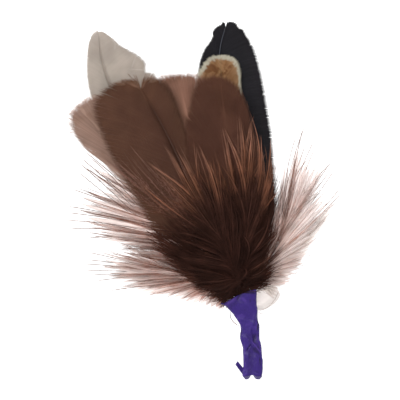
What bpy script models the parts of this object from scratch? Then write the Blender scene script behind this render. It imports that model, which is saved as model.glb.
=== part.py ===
"""A bunch of dyed and natural turkey feathers, bound at the quills with tape and lying flat.

The bunch lies on the plane z = 0 with its feather tips toward +Y and its bound stem toward -Y.
Plan positions are in millimetres from the middle of the bunch, and levels are heights in
millimetres above the plane z = 0. Everything is turned to metres when its mesh is made.
"""
from dataclasses import dataclass

import bmesh
import bpy
import numpy as np

MM = 0.001
UP = np.array([0.0, 0.0, 1.0])

# Vaned feathers: the vane, the shaft on it, and the ribs that shape them
VANE_THICKNESS = 0.5
SHAFT_RADIUS = 0.5
SHAFT_TIP_RADIUS = 0.25
SHAFT_HEIGHT = 1.1
SHAFT_TIP_HEIGHT = 0.7
VANE_RIBS = 18
NICK_WIDTH = 0.015

# Each vaned feather's underside is this much above the one below it
LAYER = 1.6

# The stacked feathers rise a little over the middle of the bunch
CROWN_RISE = 4.0
CROWN_CENTRE = (-8.0, 8.0)
CROWN_SPREAD = (40.0, 35.0)

# Quills packed in the wrap in rows of five, and how far apart they stand there and at its mouth
QUILL_RADIUS = 0.45
VANED_QUILL_SIDES = 10
LOOSE_QUILL_SIDES = 8
ROW_HEIGHTS = (1.25, 2.55, 3.85)
MIDDLE_COLUMN = 2
MOUTH_Y = -42.0
NECK_Y = -52.0
NECK_PITCH = 1.25
MOUTH_PITCH = 1.75
LONG_QUILL_Y = (-73.5, -66.0, -59.0, -53.0, -47.5, MOUTH_Y)
SHORT_QUILL_Y = (NECK_Y, -47.5, MOUTH_Y)
# A quill stays round for this share of the way from the mouth to its first barbs
BARE_QUILL = 0.85

# Loose-barbed feathers: half thickness of the core and of a lock
CORE_HALF = 0.9
LOCK_HALF = 0.4
LOCK_TIP_HALF = 0.12
# How far a valley between two locks reaches, and where a lock's middle lies and how far it has sunk
VALLEY_REACH = 0.34
LOCK_MIDDLE = 0.52
LOCK_DROP = 0.26
# The share of the shaft that carries side locks, and the tip lock's half width at its ends
SIDE_LOCKS_END = 0.9
TIP_LOCK_HALF_WIDTH = 2.0
TIP_POINT_HALF_WIDTH = 0.1

# Tape wrap: left and right side of the flattened tube from its mouth down, and its height there
TAPE_THICKNESS = 0.45
WRAP_SIDES = 20
WRAP_ROUNDING = 0.42
WRAP_STATIONS = (
    ((8.0, -44.6), (21.9, -38.2), 6.4),
    ((9.6, -46.2), (22.0, -41.6), 6.1),
    ((12.3, -49.2), (22.2, -46.0), 5.6),
    ((14.6, -52.5), (22.5, -50.4), 5.2),
    ((15.3, -55.0), (23.1, -54.0), 5.1),
    ((15.2, -59.0), (23.3, -58.6), 5.1),
    ((15.8, -61.8), (23.8, -61.5), 5.1),
    ((16.4, -65.0), (24.3, -65.0), 5.1),
    ((16.4, -71.5), (24.7, -71.5), 5.1),
    ((16.2, -75.0), (24.5, -75.0), 4.9),
    ((17.2, -77.0), (23.5, -77.0), 3.6),
)
# The loose end of the tape, a short strip that leaves the foot of the wrap
TAIL_SIZE = (6.4, 1.9, 0.5)
TAIL_CENTRE = (15.0, -72.6, 2.1)
TAIL_TURN_DEGREES = 127.0

TAPE_COLOUR = (0.075, 0.040, 0.26)
TAPE_ROUGHNESS = 0.45
VANE_ROUGHNESS = 0.7
FLUFF_ROUGHNESS = 0.9


@dataclass
class VanedFeather:
    """A feather with a closed vane.

    The slot is its quill's column and row in the wrap. The shaft and the two edges run from the
    first barbs to the tip in plan. A nick is a side, a place along the vane and the share of the
    vane's width that is left there.
    """

    name: str
    colour: tuple
    slot: tuple
    layer: int
    rachis: tuple
    left: tuple
    right: tuple
    nicks: tuple = ()
    lies_on_plane: bool = False


@dataclass
class LooseFeather:
    """A loose-barbed feather: its shaft and the tips of its locks, each as x, y and level."""

    name: str
    colour: tuple
    slot: tuple
    rachis: tuple
    left: tuple
    right: tuple
    tip: tuple
    lies_on_plane: bool = False


VANED = (
    VanedFeather(
        "white_feather", (0.46, 0.40, 0.34), (1, 0), 0,
        rachis=((6, -27), (0, -15), (-17, 13), (-32, 34.5), (-41.5, 50.5), (-45, 63.5), (-45.7, 72.2)),
        left=((-12, -5), (-23.5, 8.5), (-38.5, 28), (-47, 41), (-50.5, 51.5), (-51, 60), (-50, 68),
              (-48, 72), (-46.5, 73)),
        right=((0, -3), (-4.5, 8.5), (-11.5, 30), (-17, 43), (-20.5, 51.5), (-25, 57.5),
               (-29, 63), (-34.5, 66), (-40, 70), (-44, 72.5)),
        nicks=(("right", 0.66, 0.55),),
        lies_on_plane=True),
    VanedFeather(
        "black_feather", (0.018, 0.016, 0.020), (3, 0), 0,
        rachis=((17.5, -28), (17.5, -15), (13.5, 17), (8, 43), (6, 60), (7.5, 69), (9.3, 74)),
        left=((8, 0), (1.5, 21.5), (-2.5, 38.5), (-3.5, 51.5), (-1.5, 61), (1, 66), (3, 71.5),
              (5.5, 75), (8, 77)),
        right=((30, -15), (30.5, 0), (29.5, 15), (28, 30), (25.5, 43), (23, 56), (20, 66),
               (17.5, 71.5), (15, 74.5), (11.5, 77)),
        nicks=(("right", 0.93, 0.8),),
        lies_on_plane=True),
    VanedFeather(
        "brown_feather_far_left", (0.30, 0.18, 0.15), (0, 0), 1,
        rachis=((8, -30), (2, -21.5), (-17, 0), (-35.5, 20), (-47.5, 34), (-54.2, 40)),
        left=((-19.5, -12), (-34.5, 5.5), (-44, 16), (-53, 24.5), (-56.8, 31.5), (-57.3, 35),
              (-56.5, 38)),
        right=((-6, 0), (-21.5, 22.5), (-33, 36.5), (-41, 43.5), (-47, 44.5), (-51.5, 42))),
    VanedFeather(
        "barred_feather", (0.42, 0.22, 0.09), (3, 1), 1,
        rachis=((17, -27), (16, -15), (11.5, 21.5), (7.5, 47.5), (6.3, 62.3)),
        left=((3, 4.5), (-2, 26), (-5, 43), (-4.5, 52.5), (-2.5, 57.5), (0.5, 61), (4, 63)),
        right=((20, 4.5), (18.5, 26), (16.5, 41), (15.5, 49.5), (14.5, 57.5), (11.5, 61.5),
               (8, 63))),
    VanedFeather(
        "brown_feather_middle", (0.17, 0.08, 0.06), (2, 1), 2,
        rachis=((13, -24), (10, -11), (-0.5, 19.5), (-8, 39.5), (-11.3, 53.2)),
        left=((-7, 0), (-17.5, 21.5), (-23, 38.5), (-23.5, 47.5), (-21, 51.5), (-17, 53.5),
              (-13.5, 54)),
        right=((11.5, 4.5), (7.5, 26), (3.5, 43), (0.5, 50), (-4, 53), (-9, 54))),
    VanedFeather(
        "brown_feather_left", (0.10, 0.048, 0.030), (1, 1), 3,
        rachis=((9, -26), (5.5, -16.5), (-7.5, 9.5), (-16.5, 28.5), (-23.5, 41), (-27.5, 47.5)),
        left=((-22, -15), (-31, 1.5), (-40, 17), (-46, 30), (-48.5, 43), (-45, 47), (-40, 50),
              (-33.5, 52), (-29, 53)),
        right=((5, 0), (0.5, 9), (-7, 25), (-11, 38), (-14, 46.5), (-17, 51), (-21, 53),
               (-25.5, 53.5))),
    VanedFeather(
        "brown_feather_right", (0.072, 0.030, 0.021), (3, 2), 4,
        rachis=((17.5, -27), (16.5, -15), (12, 17), (8, 38.5), (6, 53)),
        left=((1, -3), (-4.5, 15), (-6, 36.5), (-5, 47.5), (-3, 51.5), (1, 53.5), (4.5, 54)),
        right=((27, -8), (26, 11), (23, 23.5), (20, 35.5), (17.5, 43), (15, 48), (11, 51.5),
               (7.5, 53.5))),
)

LOOSE = (
    LooseFeather(
        "hackle_low_right", (0.55, 0.40, 0.36), (4, 0),
        rachis=((21.6, -36, 1.2), (26, -33.5, 1.2), (33, -26.5, 1.2), (41, -17, 1.1),
                (47.5, -8.5, 1.0), (51.5, -4, 0.9)),
        left=((31.8, -18.5, 0.8), (35.5, -10.5, 0.8), (41, -4.5, 0.8), (46, -1, 0.7),
              (51, 1, 0.7)),
        right=((26.7, -48.5, 0.6), (36.5, -33, 0.6), (44.5, -22, 0.6), (51, -12.5, 0.6),
               (55.5, -4.5, 0.6)),
        tip=(57.3, 1.5, 0.6),
        lies_on_plane=True),
    LooseFeather(
        "hackle_low_left", (0.10, 0.05, 0.035), (0, 1),
        rachis=((10, -40, 2.6), (4.5, -36.5, 3.0), (-6.5, -32, 3.0), (-18.5, -29, 2.8),
                (-30, -27, 2.4)),
        left=((2.2, -48, 0.7), (-7, -45.5, 0.6), (-18, -43, 0.6), (-30, -40.5, 0.6),
              (-40, -37.5, 0.6), (-47, -33, 0.6)),
        right=((1.5, -30, 2.4), (-7, -25.5, 2.3), (-18, -20.5, 2.0), (-30, -18, 1.4),
               (-42, -18.5, 1.0), (-49.2, -22, 0.7)),
        tip=(-51.8, -28.5, 0.6),
        lies_on_plane=True),
    LooseFeather(
        "hackle_left", (0.10, 0.05, 0.035), (0, 2),
        rachis=((12, -36, 6.6), (7.5, -27, 8.0), (-4, -14.5, 8.0), (-14, -4.5, 7.7),
                (-24, 5.5, 7.4)),
        left=((-8, -33, 5.2), (-24, -26.5, 5.4), (-40, -20.5, 4.6), (-53, -15, 3.0),
              (-57.3, -8, 1.5), (-56, 3, 1.2)),
        right=((-4, 4, 7.4), (-9, 12, 7.2), (-18, 18.5, 7.1), (-28, 22.5, 7.0), (-38, 23.5, 6.8),
               (-46, 21.5, 6.2)),
        tip=(-52.5, 15.5, 3.6)),
    LooseFeather(
        "hackle_right", (0.10, 0.05, 0.035), (4, 1),
        rachis=((21, -36, 3.8), (26, -28.5, 5.0), (32, -16.5, 5.0), (37, -4.5, 4.8),
                (41.5, 7.5, 4.6)),
        left=((25, -21, 4.6), (29, -8, 4.3), (31, 5, 4.0), (33.5, 16, 3.9), (38.4, 23.8, 3.6),
              (41.7, 30.6, 3.2)),
        right=((39, -32, 2.9), (45.5, -24, 2.8), (51, -11, 2.8), (55.7, 3, 2.8), (52.4, 11, 2.8),
               (51, 16, 2.8)),
        tip=(45, 20, 3.0)),
    LooseFeather(
        "hackle_centre", (0.045, 0.02, 0.016), (2, 2),
        rachis=((17, -35, 8.2), (17, -23, 9.4), (16, -6, 9.4), (15.5, 9.5, 9.2), (16.5, 21, 9.0)),
        left=((9.5, -20, 8.5), (3.5, -5, 8.5), (1.5, 8, 8.5), (3.5, 21, 8.5), (8, 30, 8.5),
              (11, 36, 8.5)),
        right=((25.5, -26, 7.8), (30.5, -12, 8.5), (32, 3, 8.0), (31, 17, 7.5), (26, 32, 7.3),
               (21, 37.5, 7.8)),
        tip=(17.6, 41.3, 8.2)),
    LooseFeather(
        "hackle_centre_left", (0.06, 0.028, 0.02), (1, 2),
        rachis=((14, -35, 10.6), (11, -24, 11.6), (2.5, -9, 11.5), (-4, 2.5, 11.0),
                (-9, 12, 10.6)),
        left=((0, -31, 9.9), (-14, -18, 9.9), (-23, -6, 9.7), (-27, 6, 9.4), (-27, 17, 9.1),
              (-20, 26, 8.9)),
        right=((11, -15, 11.0), (10, -1, 11.0), (8.5, 12, 10.6), (5, 24, 10.2), (-0.5, 33, 9.8),
               (-6, 29.5, 9.5)),
        tip=(-12, 30, 9.2)),
)


def clear_scene():
    """Remove the objects that the file opens with."""
    for item in list(bpy.data.objects):
        bpy.data.objects.remove(item, do_unlink=True)


def make_material(name, colour, roughness):
    """A plain material for one sub-part."""
    material = bpy.data.materials.new(name)
    material.use_nodes = True
    shader = material.node_tree.nodes["Principled BSDF"]
    shader.inputs["Base Color"].default_value = (*colour, 1.0)
    shader.inputs["Roughness"].default_value = roughness
    shader.inputs["Metallic"].default_value = 0.0
    return material


def add_node(collection, name, mesh, colour, roughness):
    """A named sub-part in a collection, with its own material."""
    mesh.materials.append(make_material(name, colour, roughness))
    node = bpy.data.objects.new(name, mesh)
    collection.objects.link(node)
    return node


def smooth_chain(points, fractions):
    """Points at fractions of the length of a smooth curve through a chain of points."""
    chain = np.asarray(points, dtype=float)
    steps = np.linalg.norm(np.diff(chain, axis=0), axis=1)
    reach = np.concatenate([[0.0], np.cumsum(steps)])
    slopes = np.gradient(chain, reach, axis=0)
    wanted = np.asarray(fractions, dtype=float) * reach[-1]
    index = np.clip(np.searchsorted(reach, wanted, side="right") - 1, 0, len(steps) - 1)
    step = steps[index][:, None]
    u = (wanted - reach[index])[:, None] / step
    from_start = (2 * u**3 - 3 * u**2 + 1) * chain[index] + (u**3 - 2 * u**2 + u) * step * slopes[index]
    to_end = (3 * u**2 - 2 * u**3) * chain[index + 1] + (u**3 - u**2) * step * slopes[index + 1]
    return from_start + to_end


def crown(x, y):
    """How far the stack of feathers rises at a place in plan."""
    across = (x - CROWN_CENTRE[0]) / CROWN_SPREAD[0]
    along = (y - CROWN_CENTRE[1]) / CROWN_SPREAD[1]
    return CROWN_RISE * np.exp(-(across**2 + along**2))


def wrap_middle(y):
    """The wrap's middle line: x at a given y."""
    middles = sorted(((left[1] + right[1]) / 2, (left[0] + right[0]) / 2)
                     for left, right, _ in WRAP_STATIONS)
    return np.interp(y, [middle[0] for middle in middles], [middle[1] for middle in middles])


def quill_line(slot, stations, first_barbs):
    """The middle line of a quill: up through the wrap, then most of the way to its first barbs."""
    column, row = slot
    route = []
    for y in stations:
        pitch = np.interp(y, (NECK_Y, MOUTH_Y), (NECK_PITCH, MOUTH_PITCH))
        route.append((wrap_middle(y) + (column - MIDDLE_COLUMN) * pitch, y, ROW_HEIGHTS[row]))
    mouth = np.array(route[-1])
    return np.vstack([route, mouth + BARE_QUILL * (first_barbs - mouth)])


def level_sides(line):
    """The level direction to the left of a line in space or in plan, at each of its points."""
    along = np.gradient(line, axis=0)
    sides = np.column_stack([-along[:, 1], along[:, 0], np.zeros(len(line))])
    return sides / np.linalg.norm(sides, axis=1)[:, None]


def quill_rings(line, count, first_turn):
    """Rings round a quill, each starting near its left side and passing over its top."""
    along = np.gradient(line, axis=0)
    along /= np.linalg.norm(along, axis=1)[:, None]
    sides = level_sides(line)
    ups = np.cross(along, sides)
    turns = first_turn + 2 * np.pi * np.arange(count) / count
    return [middle + QUILL_RADIUS * (np.outer(np.cos(turns), side) + np.outer(np.sin(turns), up))
            for middle, side, up in zip(line, sides, ups)]


def bridge_rows(build, rows):
    """Faces between rows of points that run round a form, each row joined to the next."""
    for near, far in zip(rows, rows[1:]):
        for k in range(len(near)):
            after = (k + 1) % len(near)
            build.faces.new((near[k], near[after], far[after], far[k]))


def loft_mesh(name, sections):
    """One closed solid through sections that have the same number of points."""
    mesh = bpy.data.meshes.new(name)
    build = bmesh.new()
    rows = [[build.verts.new(point * MM) for point in section] for section in sections]
    bridge_rows(build, rows)
    build.faces.new(rows[0])
    build.faces.new(rows[-1])
    bmesh.ops.triangulate(build, faces=build.faces[:])
    bmesh.ops.recalc_face_normals(build, faces=build.faces[:])
    build.to_mesh(mesh)
    build.free()
    return mesh


def rib_places(feather):
    """Where the ribs stand along the vane: evenly, with three more at each nick."""
    places = set(np.linspace(0.0, 1.0, VANE_RIBS))
    for _, nick, _ in feather.nicks:
        places -= {place for place in places if abs(place - nick) < 2 * NICK_WIDTH}
        places |= {nick - NICK_WIDTH, nick, nick + NICK_WIDTH}
    return np.array(sorted(places))


def underside(points, feather):
    """Plan points brought up to a vaned feather's layer, and to the crown of the bunch."""
    heights = np.full(len(points), feather.layer * LAYER)
    if not feather.lies_on_plane:
        heights += crown(points[:, 0], points[:, 1])
    return np.column_stack([points, heights])


def vane_ribs(feather):
    """Cross-sections of the vane: left edge, shaft and right edge, over the top and back below."""
    places = rib_places(feather)
    shaft = smooth_chain(feather.rachis, places)
    edges = {"left": smooth_chain(feather.left, places), "right": smooth_chain(feather.right, places)}
    for side, nick, depth in feather.nicks:
        k = int(np.argmin(np.abs(places - nick)))
        edges[side][k] = shaft[k] + depth * (edges[side][k] - shaft[k])

    radii = np.linspace(SHAFT_RADIUS, SHAFT_TIP_RADIUS, len(shaft))[:, None]
    foot = radii * level_sides(shaft)[:, :2]
    lines = [underside(line, feather)
             for line in (edges["left"], shaft + foot, shaft, shaft - foot, edges["right"])]
    ridge = np.linspace(SHAFT_HEIGHT, SHAFT_TIP_HEIGHT, len(shaft))
    ribs = []
    for k, ridge_height in enumerate(ridge):
        below = [line[k] for line in lines]
        rises = (VANE_THICKNESS, VANE_THICKNESS, ridge_height, VANE_THICKNESS, VANE_THICKNESS)
        over = [point + rise * UP for point, rise in zip(below, rises)]
        ribs.append(np.array(over + below[::-1]))
    return ribs, lines[2][0] + SHAFT_HEIGHT / 2 * UP


def build_vaned(collection, feather):
    """Quill, shaft and vane of one feather as one solid."""
    ribs, first_barbs = vane_ribs(feather)
    line = quill_line(feather.slot, LONG_QUILL_Y, first_barbs)
    rings = quill_rings(line, VANED_QUILL_SIDES, np.pi / VANED_QUILL_SIDES)
    mesh = loft_mesh(feather.name, rings + ribs)
    return add_node(collection, feather.name, mesh, feather.colour, VANE_ROUGHNESS)


def lifted(points, feather):
    """Points with levels, brought up to the crown of the bunch unless the feather lies flat."""
    points = np.array(points, dtype=float)
    if not feather.lies_on_plane:
        points[:, 2] += crown(points[:, 0], points[:, 1])
    return points


def lock_section(core, left_tip, right_tip, core_half, lock_half):
    """A cross-section of a loose feather, from the left lock's tip over the core and back below."""
    middles = []
    for tip in (left_tip, right_tip):
        middle = core + LOCK_MIDDLE * (tip - core)
        middle[2] = core[2] + LOCK_DROP * (tip[2] - core[2])
        middles.append(middle)
    over = [middles[0] + lock_half * UP, core + core_half * UP, middles[1] + lock_half * UP]
    below = [middles[1] - lock_half * UP, core - core_half * UP, middles[0] - lock_half * UP]
    return np.array([left_tip, *over, right_tip, *below])


def valley_point(k, valleys, roots, tips):
    """The edge between lock k - 1 and lock k, a part of the way out along them."""
    reaches = [tips[i] - roots[i] for i in (k - 1, k) if 0 <= i < len(roots)]
    return valleys[k] + VALLEY_REACH * np.mean(reaches, axis=0)


def lock_sections(feather):
    """Cross-sections of the core and its locks, by turns in a valley and at a lock."""
    left, right = lifted(feather.left, feather), lifted(feather.right, feather)
    tip = lifted([feather.tip], feather)[0]
    chain = lifted(feather.rachis, feather)
    count = len(left)
    roots = smooth_chain(chain, SIDE_LOCKS_END * (np.arange(count) + 0.5) / count)
    valleys = smooth_chain(chain, SIDE_LOCKS_END * np.arange(count + 1) / count)
    end = smooth_chain(chain, [1.0])[0]

    sections = []
    for k in range(count + 1):
        left_valley = valley_point(k, valleys, roots, left)
        right_valley = valley_point(k, valleys, roots, right)
        sections.append(lock_section(valleys[k], left_valley, right_valley, CORE_HALF, LOCK_HALF))
        if k < count:
            sections.append(lock_section(roots[k], left[k], right[k], CORE_HALF, LOCK_HALF))
    side = level_sides(np.array([end, tip]))[0]
    wide, narrow = TIP_LOCK_HALF_WIDTH * side, TIP_POINT_HALF_WIDTH * side
    sections.append(lock_section(end, end + wide, end - wide, LOCK_HALF, LOCK_HALF / 2))
    sections.append(lock_section(tip, tip + narrow, tip - narrow, LOCK_TIP_HALF, LOCK_TIP_HALF))
    return sections, valleys[0]


def build_loose(collection, feather):
    """Quill, core and pointed locks of one loose-barbed feather as one solid."""
    sections, first_barbs = lock_sections(feather)
    line = quill_line(feather.slot, SHORT_QUILL_Y, first_barbs)
    rings = quill_rings(line, LOOSE_QUILL_SIDES, 0.0)
    mesh = loft_mesh(feather.name, rings + sections)
    return add_node(collection, feather.name, mesh, feather.colour, FLUFF_ROUGHNESS)


def wrap_surface():
    """The outer surface of the flattened tube, open at its mouth and closed at its foot."""
    mesh = bpy.data.meshes.new("stem_wrap")
    build = bmesh.new()
    turns = 2 * np.pi * np.arange(WRAP_SIDES) / WRAP_SIDES
    waves = np.column_stack([np.cos(turns), np.sin(turns)])
    rounded = np.sign(waves) * np.abs(waves) ** WRAP_ROUNDING
    rows = []
    for left, right, height in WRAP_STATIONS:
        left, right = np.array([*left, 0.0]), np.array([*right, 0.0])
        middle = (left + right) / 2 + height / 2 * UP
        rows.append([build.verts.new((middle + across * (right - left) / 2 + rise * height / 2 * UP) * MM)
                     for across, rise in rounded])
    bridge_rows(build, rows)
    build.faces.new(rows[-1])
    build.to_mesh(mesh)
    build.free()
    return mesh


def build_tape_tail(collection):
    """The loose end of the tape, which the wrap takes in."""
    mesh = bpy.data.meshes.new("tape_tail")
    build = bmesh.new()
    bmesh.ops.create_cube(build, size=1.0)
    bmesh.ops.scale(build, vec=np.array(TAIL_SIZE) * MM, verts=build.verts)
    build.to_mesh(mesh)
    build.free()
    tail = bpy.data.objects.new("tape_tail", mesh)
    collection.objects.link(tail)
    tail.location = np.array(TAIL_CENTRE) * MM
    tail.rotation_euler = (0.0, 0.0, np.radians(TAIL_TURN_DEGREES))
    tail.hide_render = True
    tail.display_type = "WIRE"
    return tail


def build_wrap(collection, joined):
    """The tape wrap: a thin flattened tube with its loose end of tape."""
    wrap = add_node(collection, "stem_wrap", wrap_surface(), TAPE_COLOUR, TAPE_ROUGHNESS)
    shell = wrap.modifiers.new("tape", "SOLIDIFY")
    shell.thickness = TAPE_THICKNESS * MM
    shell.offset = -1.0
    union = wrap.modifiers.new("loose end", "BOOLEAN")
    union.operation = "UNION"
    union.solver = "EXACT"
    union.object = build_tape_tail(joined)
    return wrap


def add_collection(name):
    """A new collection in the scene."""
    collection = bpy.data.collections.new(name)
    bpy.context.scene.collection.children.link(collection)
    return collection


def main():
    """Build the bunch from the wrap up."""
    clear_scene()
    bunch = add_collection("feather_bunch")
    build_wrap(bunch, add_collection("taken_into_others"))
    for feather in VANED:
        build_vaned(bunch, feather)
    for feather in LOOSE:
        build_loose(bunch, feather)


main()
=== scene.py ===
"""A bunch of dyed and natural turkey feathers, bound at the quills with tape, on a pale table.

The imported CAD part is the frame. Each of its solids is replaced by the real thing's own
structure: a vaned feather by its shaft and its rows of barbs, a loose-barbed feather by its
shaft, its barbs and the down on them, and the wrap by wound, creased tape. Plan positions and
levels are in millimetres, as in the CAD source, and become metres when a mesh is made.
"""

import logging
from dataclasses import dataclass, field
from enum import Enum
from typing import Optional, Union

import bpy
import numpy as np
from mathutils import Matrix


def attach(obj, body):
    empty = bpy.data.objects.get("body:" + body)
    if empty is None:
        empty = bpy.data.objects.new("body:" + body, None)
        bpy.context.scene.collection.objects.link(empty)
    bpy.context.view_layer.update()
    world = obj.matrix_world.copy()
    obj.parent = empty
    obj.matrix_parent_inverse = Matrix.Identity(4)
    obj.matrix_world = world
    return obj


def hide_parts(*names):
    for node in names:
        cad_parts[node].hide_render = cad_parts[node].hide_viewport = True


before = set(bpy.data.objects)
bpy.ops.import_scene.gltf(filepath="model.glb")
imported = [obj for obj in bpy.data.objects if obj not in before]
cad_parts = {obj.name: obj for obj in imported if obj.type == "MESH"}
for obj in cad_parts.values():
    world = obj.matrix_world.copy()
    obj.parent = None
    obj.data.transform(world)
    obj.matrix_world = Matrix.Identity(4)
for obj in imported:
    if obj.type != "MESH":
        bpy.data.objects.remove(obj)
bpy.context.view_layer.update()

LOG = logging.getLogger("feather_bunch")

MM = 0.001
UP = np.array([0.0, 0.0, 1.0])
NONE, ALL = np.zeros((1, 1)), np.ones((1, 1))

Point = tuple[float, float, float]
Chain = tuple[tuple[float, ...], ...]
Mark = tuple[float, float, float, float, float, float]
Colour = tuple[float, float, float]
Stops = tuple[tuple[float, Colour], ...]
Number = Union[bpy.types.NodeSocket, float]
Paint = Union[bpy.types.NodeSocket, Colour]

# The stack of feathers: the rise of one layer over the next, and its crown over the middle
LAYER = 1.6
CROWN_RISE = 4.0
CROWN_CENTRE = (-8.0, 8.0)
CROWN_SPREAD = (40.0, 35.0)

# Quills packed in the wrap
ROW_HEIGHTS = (1.25, 2.55, 3.85)
MIDDLE_COLUMN = 2
MOUTH_Y = -42.0
NECK_Y = -52.0
NECK_PITCH = 1.25
MOUTH_PITCH = 1.75
LONG_QUILL_Y = (-73.5, -66.0, -59.0, -53.0, -47.5, MOUTH_Y)
SHORT_QUILL_Y = (NECK_Y, -47.5, MOUTH_Y)
BARE_QUILL = 0.85
VANED_QUILL_RADIUS = 0.45
LOOSE_QUILL_RADIUS = 0.36

# Loose down: the points that a film is laid through, the stations of a leaf, a stray's thickness
FILM_POINTS = 40
LEAF = np.linspace(0.0, 1.0, 14)
STRAY_THICKNESS = 2.3

# The lowest that anything comes to the table
LOWEST_BARB = 0.12
LOWEST_WEB = 0.10
LOWEST_FILM = 0.08
LOWEST_DOWN = 0.05
LOWEST_TAPE = 0.02

# The bake map: the shaft's strip, the strips of the strands beside it, and their feet and heights
SHAFT_STRIP = (0.002, 0.028)
FIRST_STRIP = 0.03
ALL_STRIPS = 0.94
TUFT_STRIP = 0.985
TUFT_STRIP_WIDTH = 0.002
MAP_FOOT = 0.01
MAP_TALL = 0.98
WEB_TALL = 0.97
BARB_TALL = 0.47
DOWN_FOOT = 0.51
DOWN_TALL = 0.46

# The flattened tube of tape: its left and right side from the mouth down, and its height there
WRAP_STATIONS = (
    ((8.0, -44.6), (21.9, -38.2), 6.4),
    ((9.6, -46.2), (22.0, -41.6), 6.1),
    ((12.3, -49.2), (22.2, -46.0), 5.6),
    ((14.6, -52.5), (22.5, -50.4), 5.2),
    ((15.3, -55.0), (23.1, -54.0), 5.1),
    ((15.2, -59.0), (23.3, -58.6), 5.1),
    ((15.8, -61.8), (23.8, -61.5), 5.1),
    ((16.4, -65.0), (24.3, -65.0), 5.1),
    ((16.4, -71.5), (24.7, -71.5), 5.1),
    ((16.2, -75.0), (24.5, -75.0), 4.9),
    ((17.2, -77.0), (23.5, -77.0), 3.6),
)


class Side(Enum):
    """The side of a shaft that a row of barbs grows on."""

    LEFT = "left"
    RIGHT = "right"


class Lie(Enum):
    """What a feather rests on."""

    TABLE = "table"
    STACK = "stack"


# Curves, and the levels of the stack


def smooth_chain(points: Chain, fractions: np.ndarray) -> np.ndarray:
    """Follow a smooth curve through a chain of points.

    Args:
        points: The chain, in plan or in space.
        fractions: Where along the chain, from 0 to 1 of its length.

    Returns:
        One point for each fraction.
    """
    chain = np.asarray(points, dtype=float)
    steps = np.linalg.norm(np.diff(chain, axis=0), axis=1)
    reach = np.concatenate([[0.0], np.cumsum(steps)])
    slopes = np.gradient(chain, reach, axis=0)
    wanted = np.asarray(fractions, dtype=float) * reach[-1]
    index = np.clip(np.searchsorted(reach, wanted, side="right") - 1, 0, len(steps) - 1)
    step = steps[index][:, None]
    u = (wanted - reach[index])[:, None] / step
    from_start = (2 * u**3 - 3 * u**2 + 1) * chain[index] + (u**3 - 2 * u**2 + u) * step * slopes[index]
    to_end = (3 * u**2 - 2 * u**3) * chain[index + 1] + (u**3 - u**2) * step * slopes[index + 1]
    return from_start + to_end


def glide(points: np.ndarray, numbers: np.ndarray) -> np.ndarray:
    """Follow a smooth curve through points by their numbers.

    Args:
        points: The points, numbered from 0.
        numbers: Where to read the curve, as part numbers; past an end it runs straight on.

    Returns:
        One point for each number.
    """
    slopes = np.gradient(points, axis=0)
    index = np.clip(np.floor(numbers).astype(int), 0, len(points) - 2)
    u = (numbers - index)[:, None]
    inside = np.clip(u, 0.0, 1.0)
    curve = ((2 * inside**3 - 3 * inside**2 + 1) * points[index]
             + (inside**3 - 2 * inside**2 + inside) * slopes[index]
             + (3 * inside**2 - 2 * inside**3) * points[index + 1]
             + (inside**3 - inside**2) * slopes[index + 1])
    beyond = u - inside
    return curve + beyond * np.where(u < 0, slopes[index], slopes[index + 1])


def crown(x: np.ndarray, y: np.ndarray) -> np.ndarray:
    """Work out the rise of the stack of feathers.

    Args:
        x: Places in plan across the bunch.
        y: Places in plan along the bunch.

    Returns:
        The rise at each place.
    """
    across = (x - CROWN_CENTRE[0]) / CROWN_SPREAD[0]
    along = (y - CROWN_CENTRE[1]) / CROWN_SPREAD[1]
    return CROWN_RISE * np.exp(-(across**2 + along**2))


def wrap_middle(y: float) -> float:
    """Find the x of the wrap's middle line at a given y."""
    middles = sorted(((left[1] + right[1]) / 2, (left[0] + right[0]) / 2)
                     for left, right, _ in WRAP_STATIONS)
    return float(np.interp(y, [m[0] for m in middles], [m[1] for m in middles]))


def quill_line(slot: tuple[int, int], stations: tuple[float, ...], first_barbs: np.ndarray) -> np.ndarray:
    """Lay a quill's middle line through the wrap and most of the way to its first barbs.

    Args:
        slot: The quill's column and row in the wrap.
        stations: The y of each point in the wrap.
        first_barbs: Where the barbs begin.

    Returns:
        The line's points.
    """
    column, row = slot
    route = []
    for y in stations:
        pitch = np.interp(y, (NECK_Y, MOUTH_Y), (NECK_PITCH, MOUTH_PITCH))
        route.append((wrap_middle(y) + (column - MIDDLE_COLUMN) * pitch, y, ROW_HEIGHTS[row]))
    mouth = np.array(route[-1])
    return np.vstack([route, mouth + BARE_QUILL * (first_barbs - mouth)])


def unit(vectors: np.ndarray) -> np.ndarray:
    """Bring vectors to length one."""
    return vectors / np.maximum(np.linalg.norm(vectors, axis=-1, keepdims=True), 1e-9)


def ease(values: np.ndarray, start: float, end: float) -> np.ndarray:
    """Step smoothly from 0 at start to 1 at end."""
    u = np.clip((values - start) / (end - start), 0.0, 1.0)
    return u * u * (3 - 2 * u)


def sweep(start: np.ndarray, middle: np.ndarray, end: np.ndarray, v: np.ndarray) -> np.ndarray:
    """Read curves that bend toward a middle on their way from start to end, at v from 0 to 1."""
    return (1 - v)**2 * start + 2 * (1 - v) * v * middle + v**2 * end


def crossing(lines: np.ndarray) -> np.ndarray:
    """Measure how far lines that run side by side lie apart, square to their own run.

    Args:
        lines: The lines, by line and station.

    Returns:
        The distance to the next line at each station, in plan.
    """
    heading = unit(np.gradient(lines, axis=1))
    across = np.gradient(lines, axis=0)
    return np.abs(across[..., 0] * heading[..., 1] - across[..., 1] * heading[..., 0])


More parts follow.
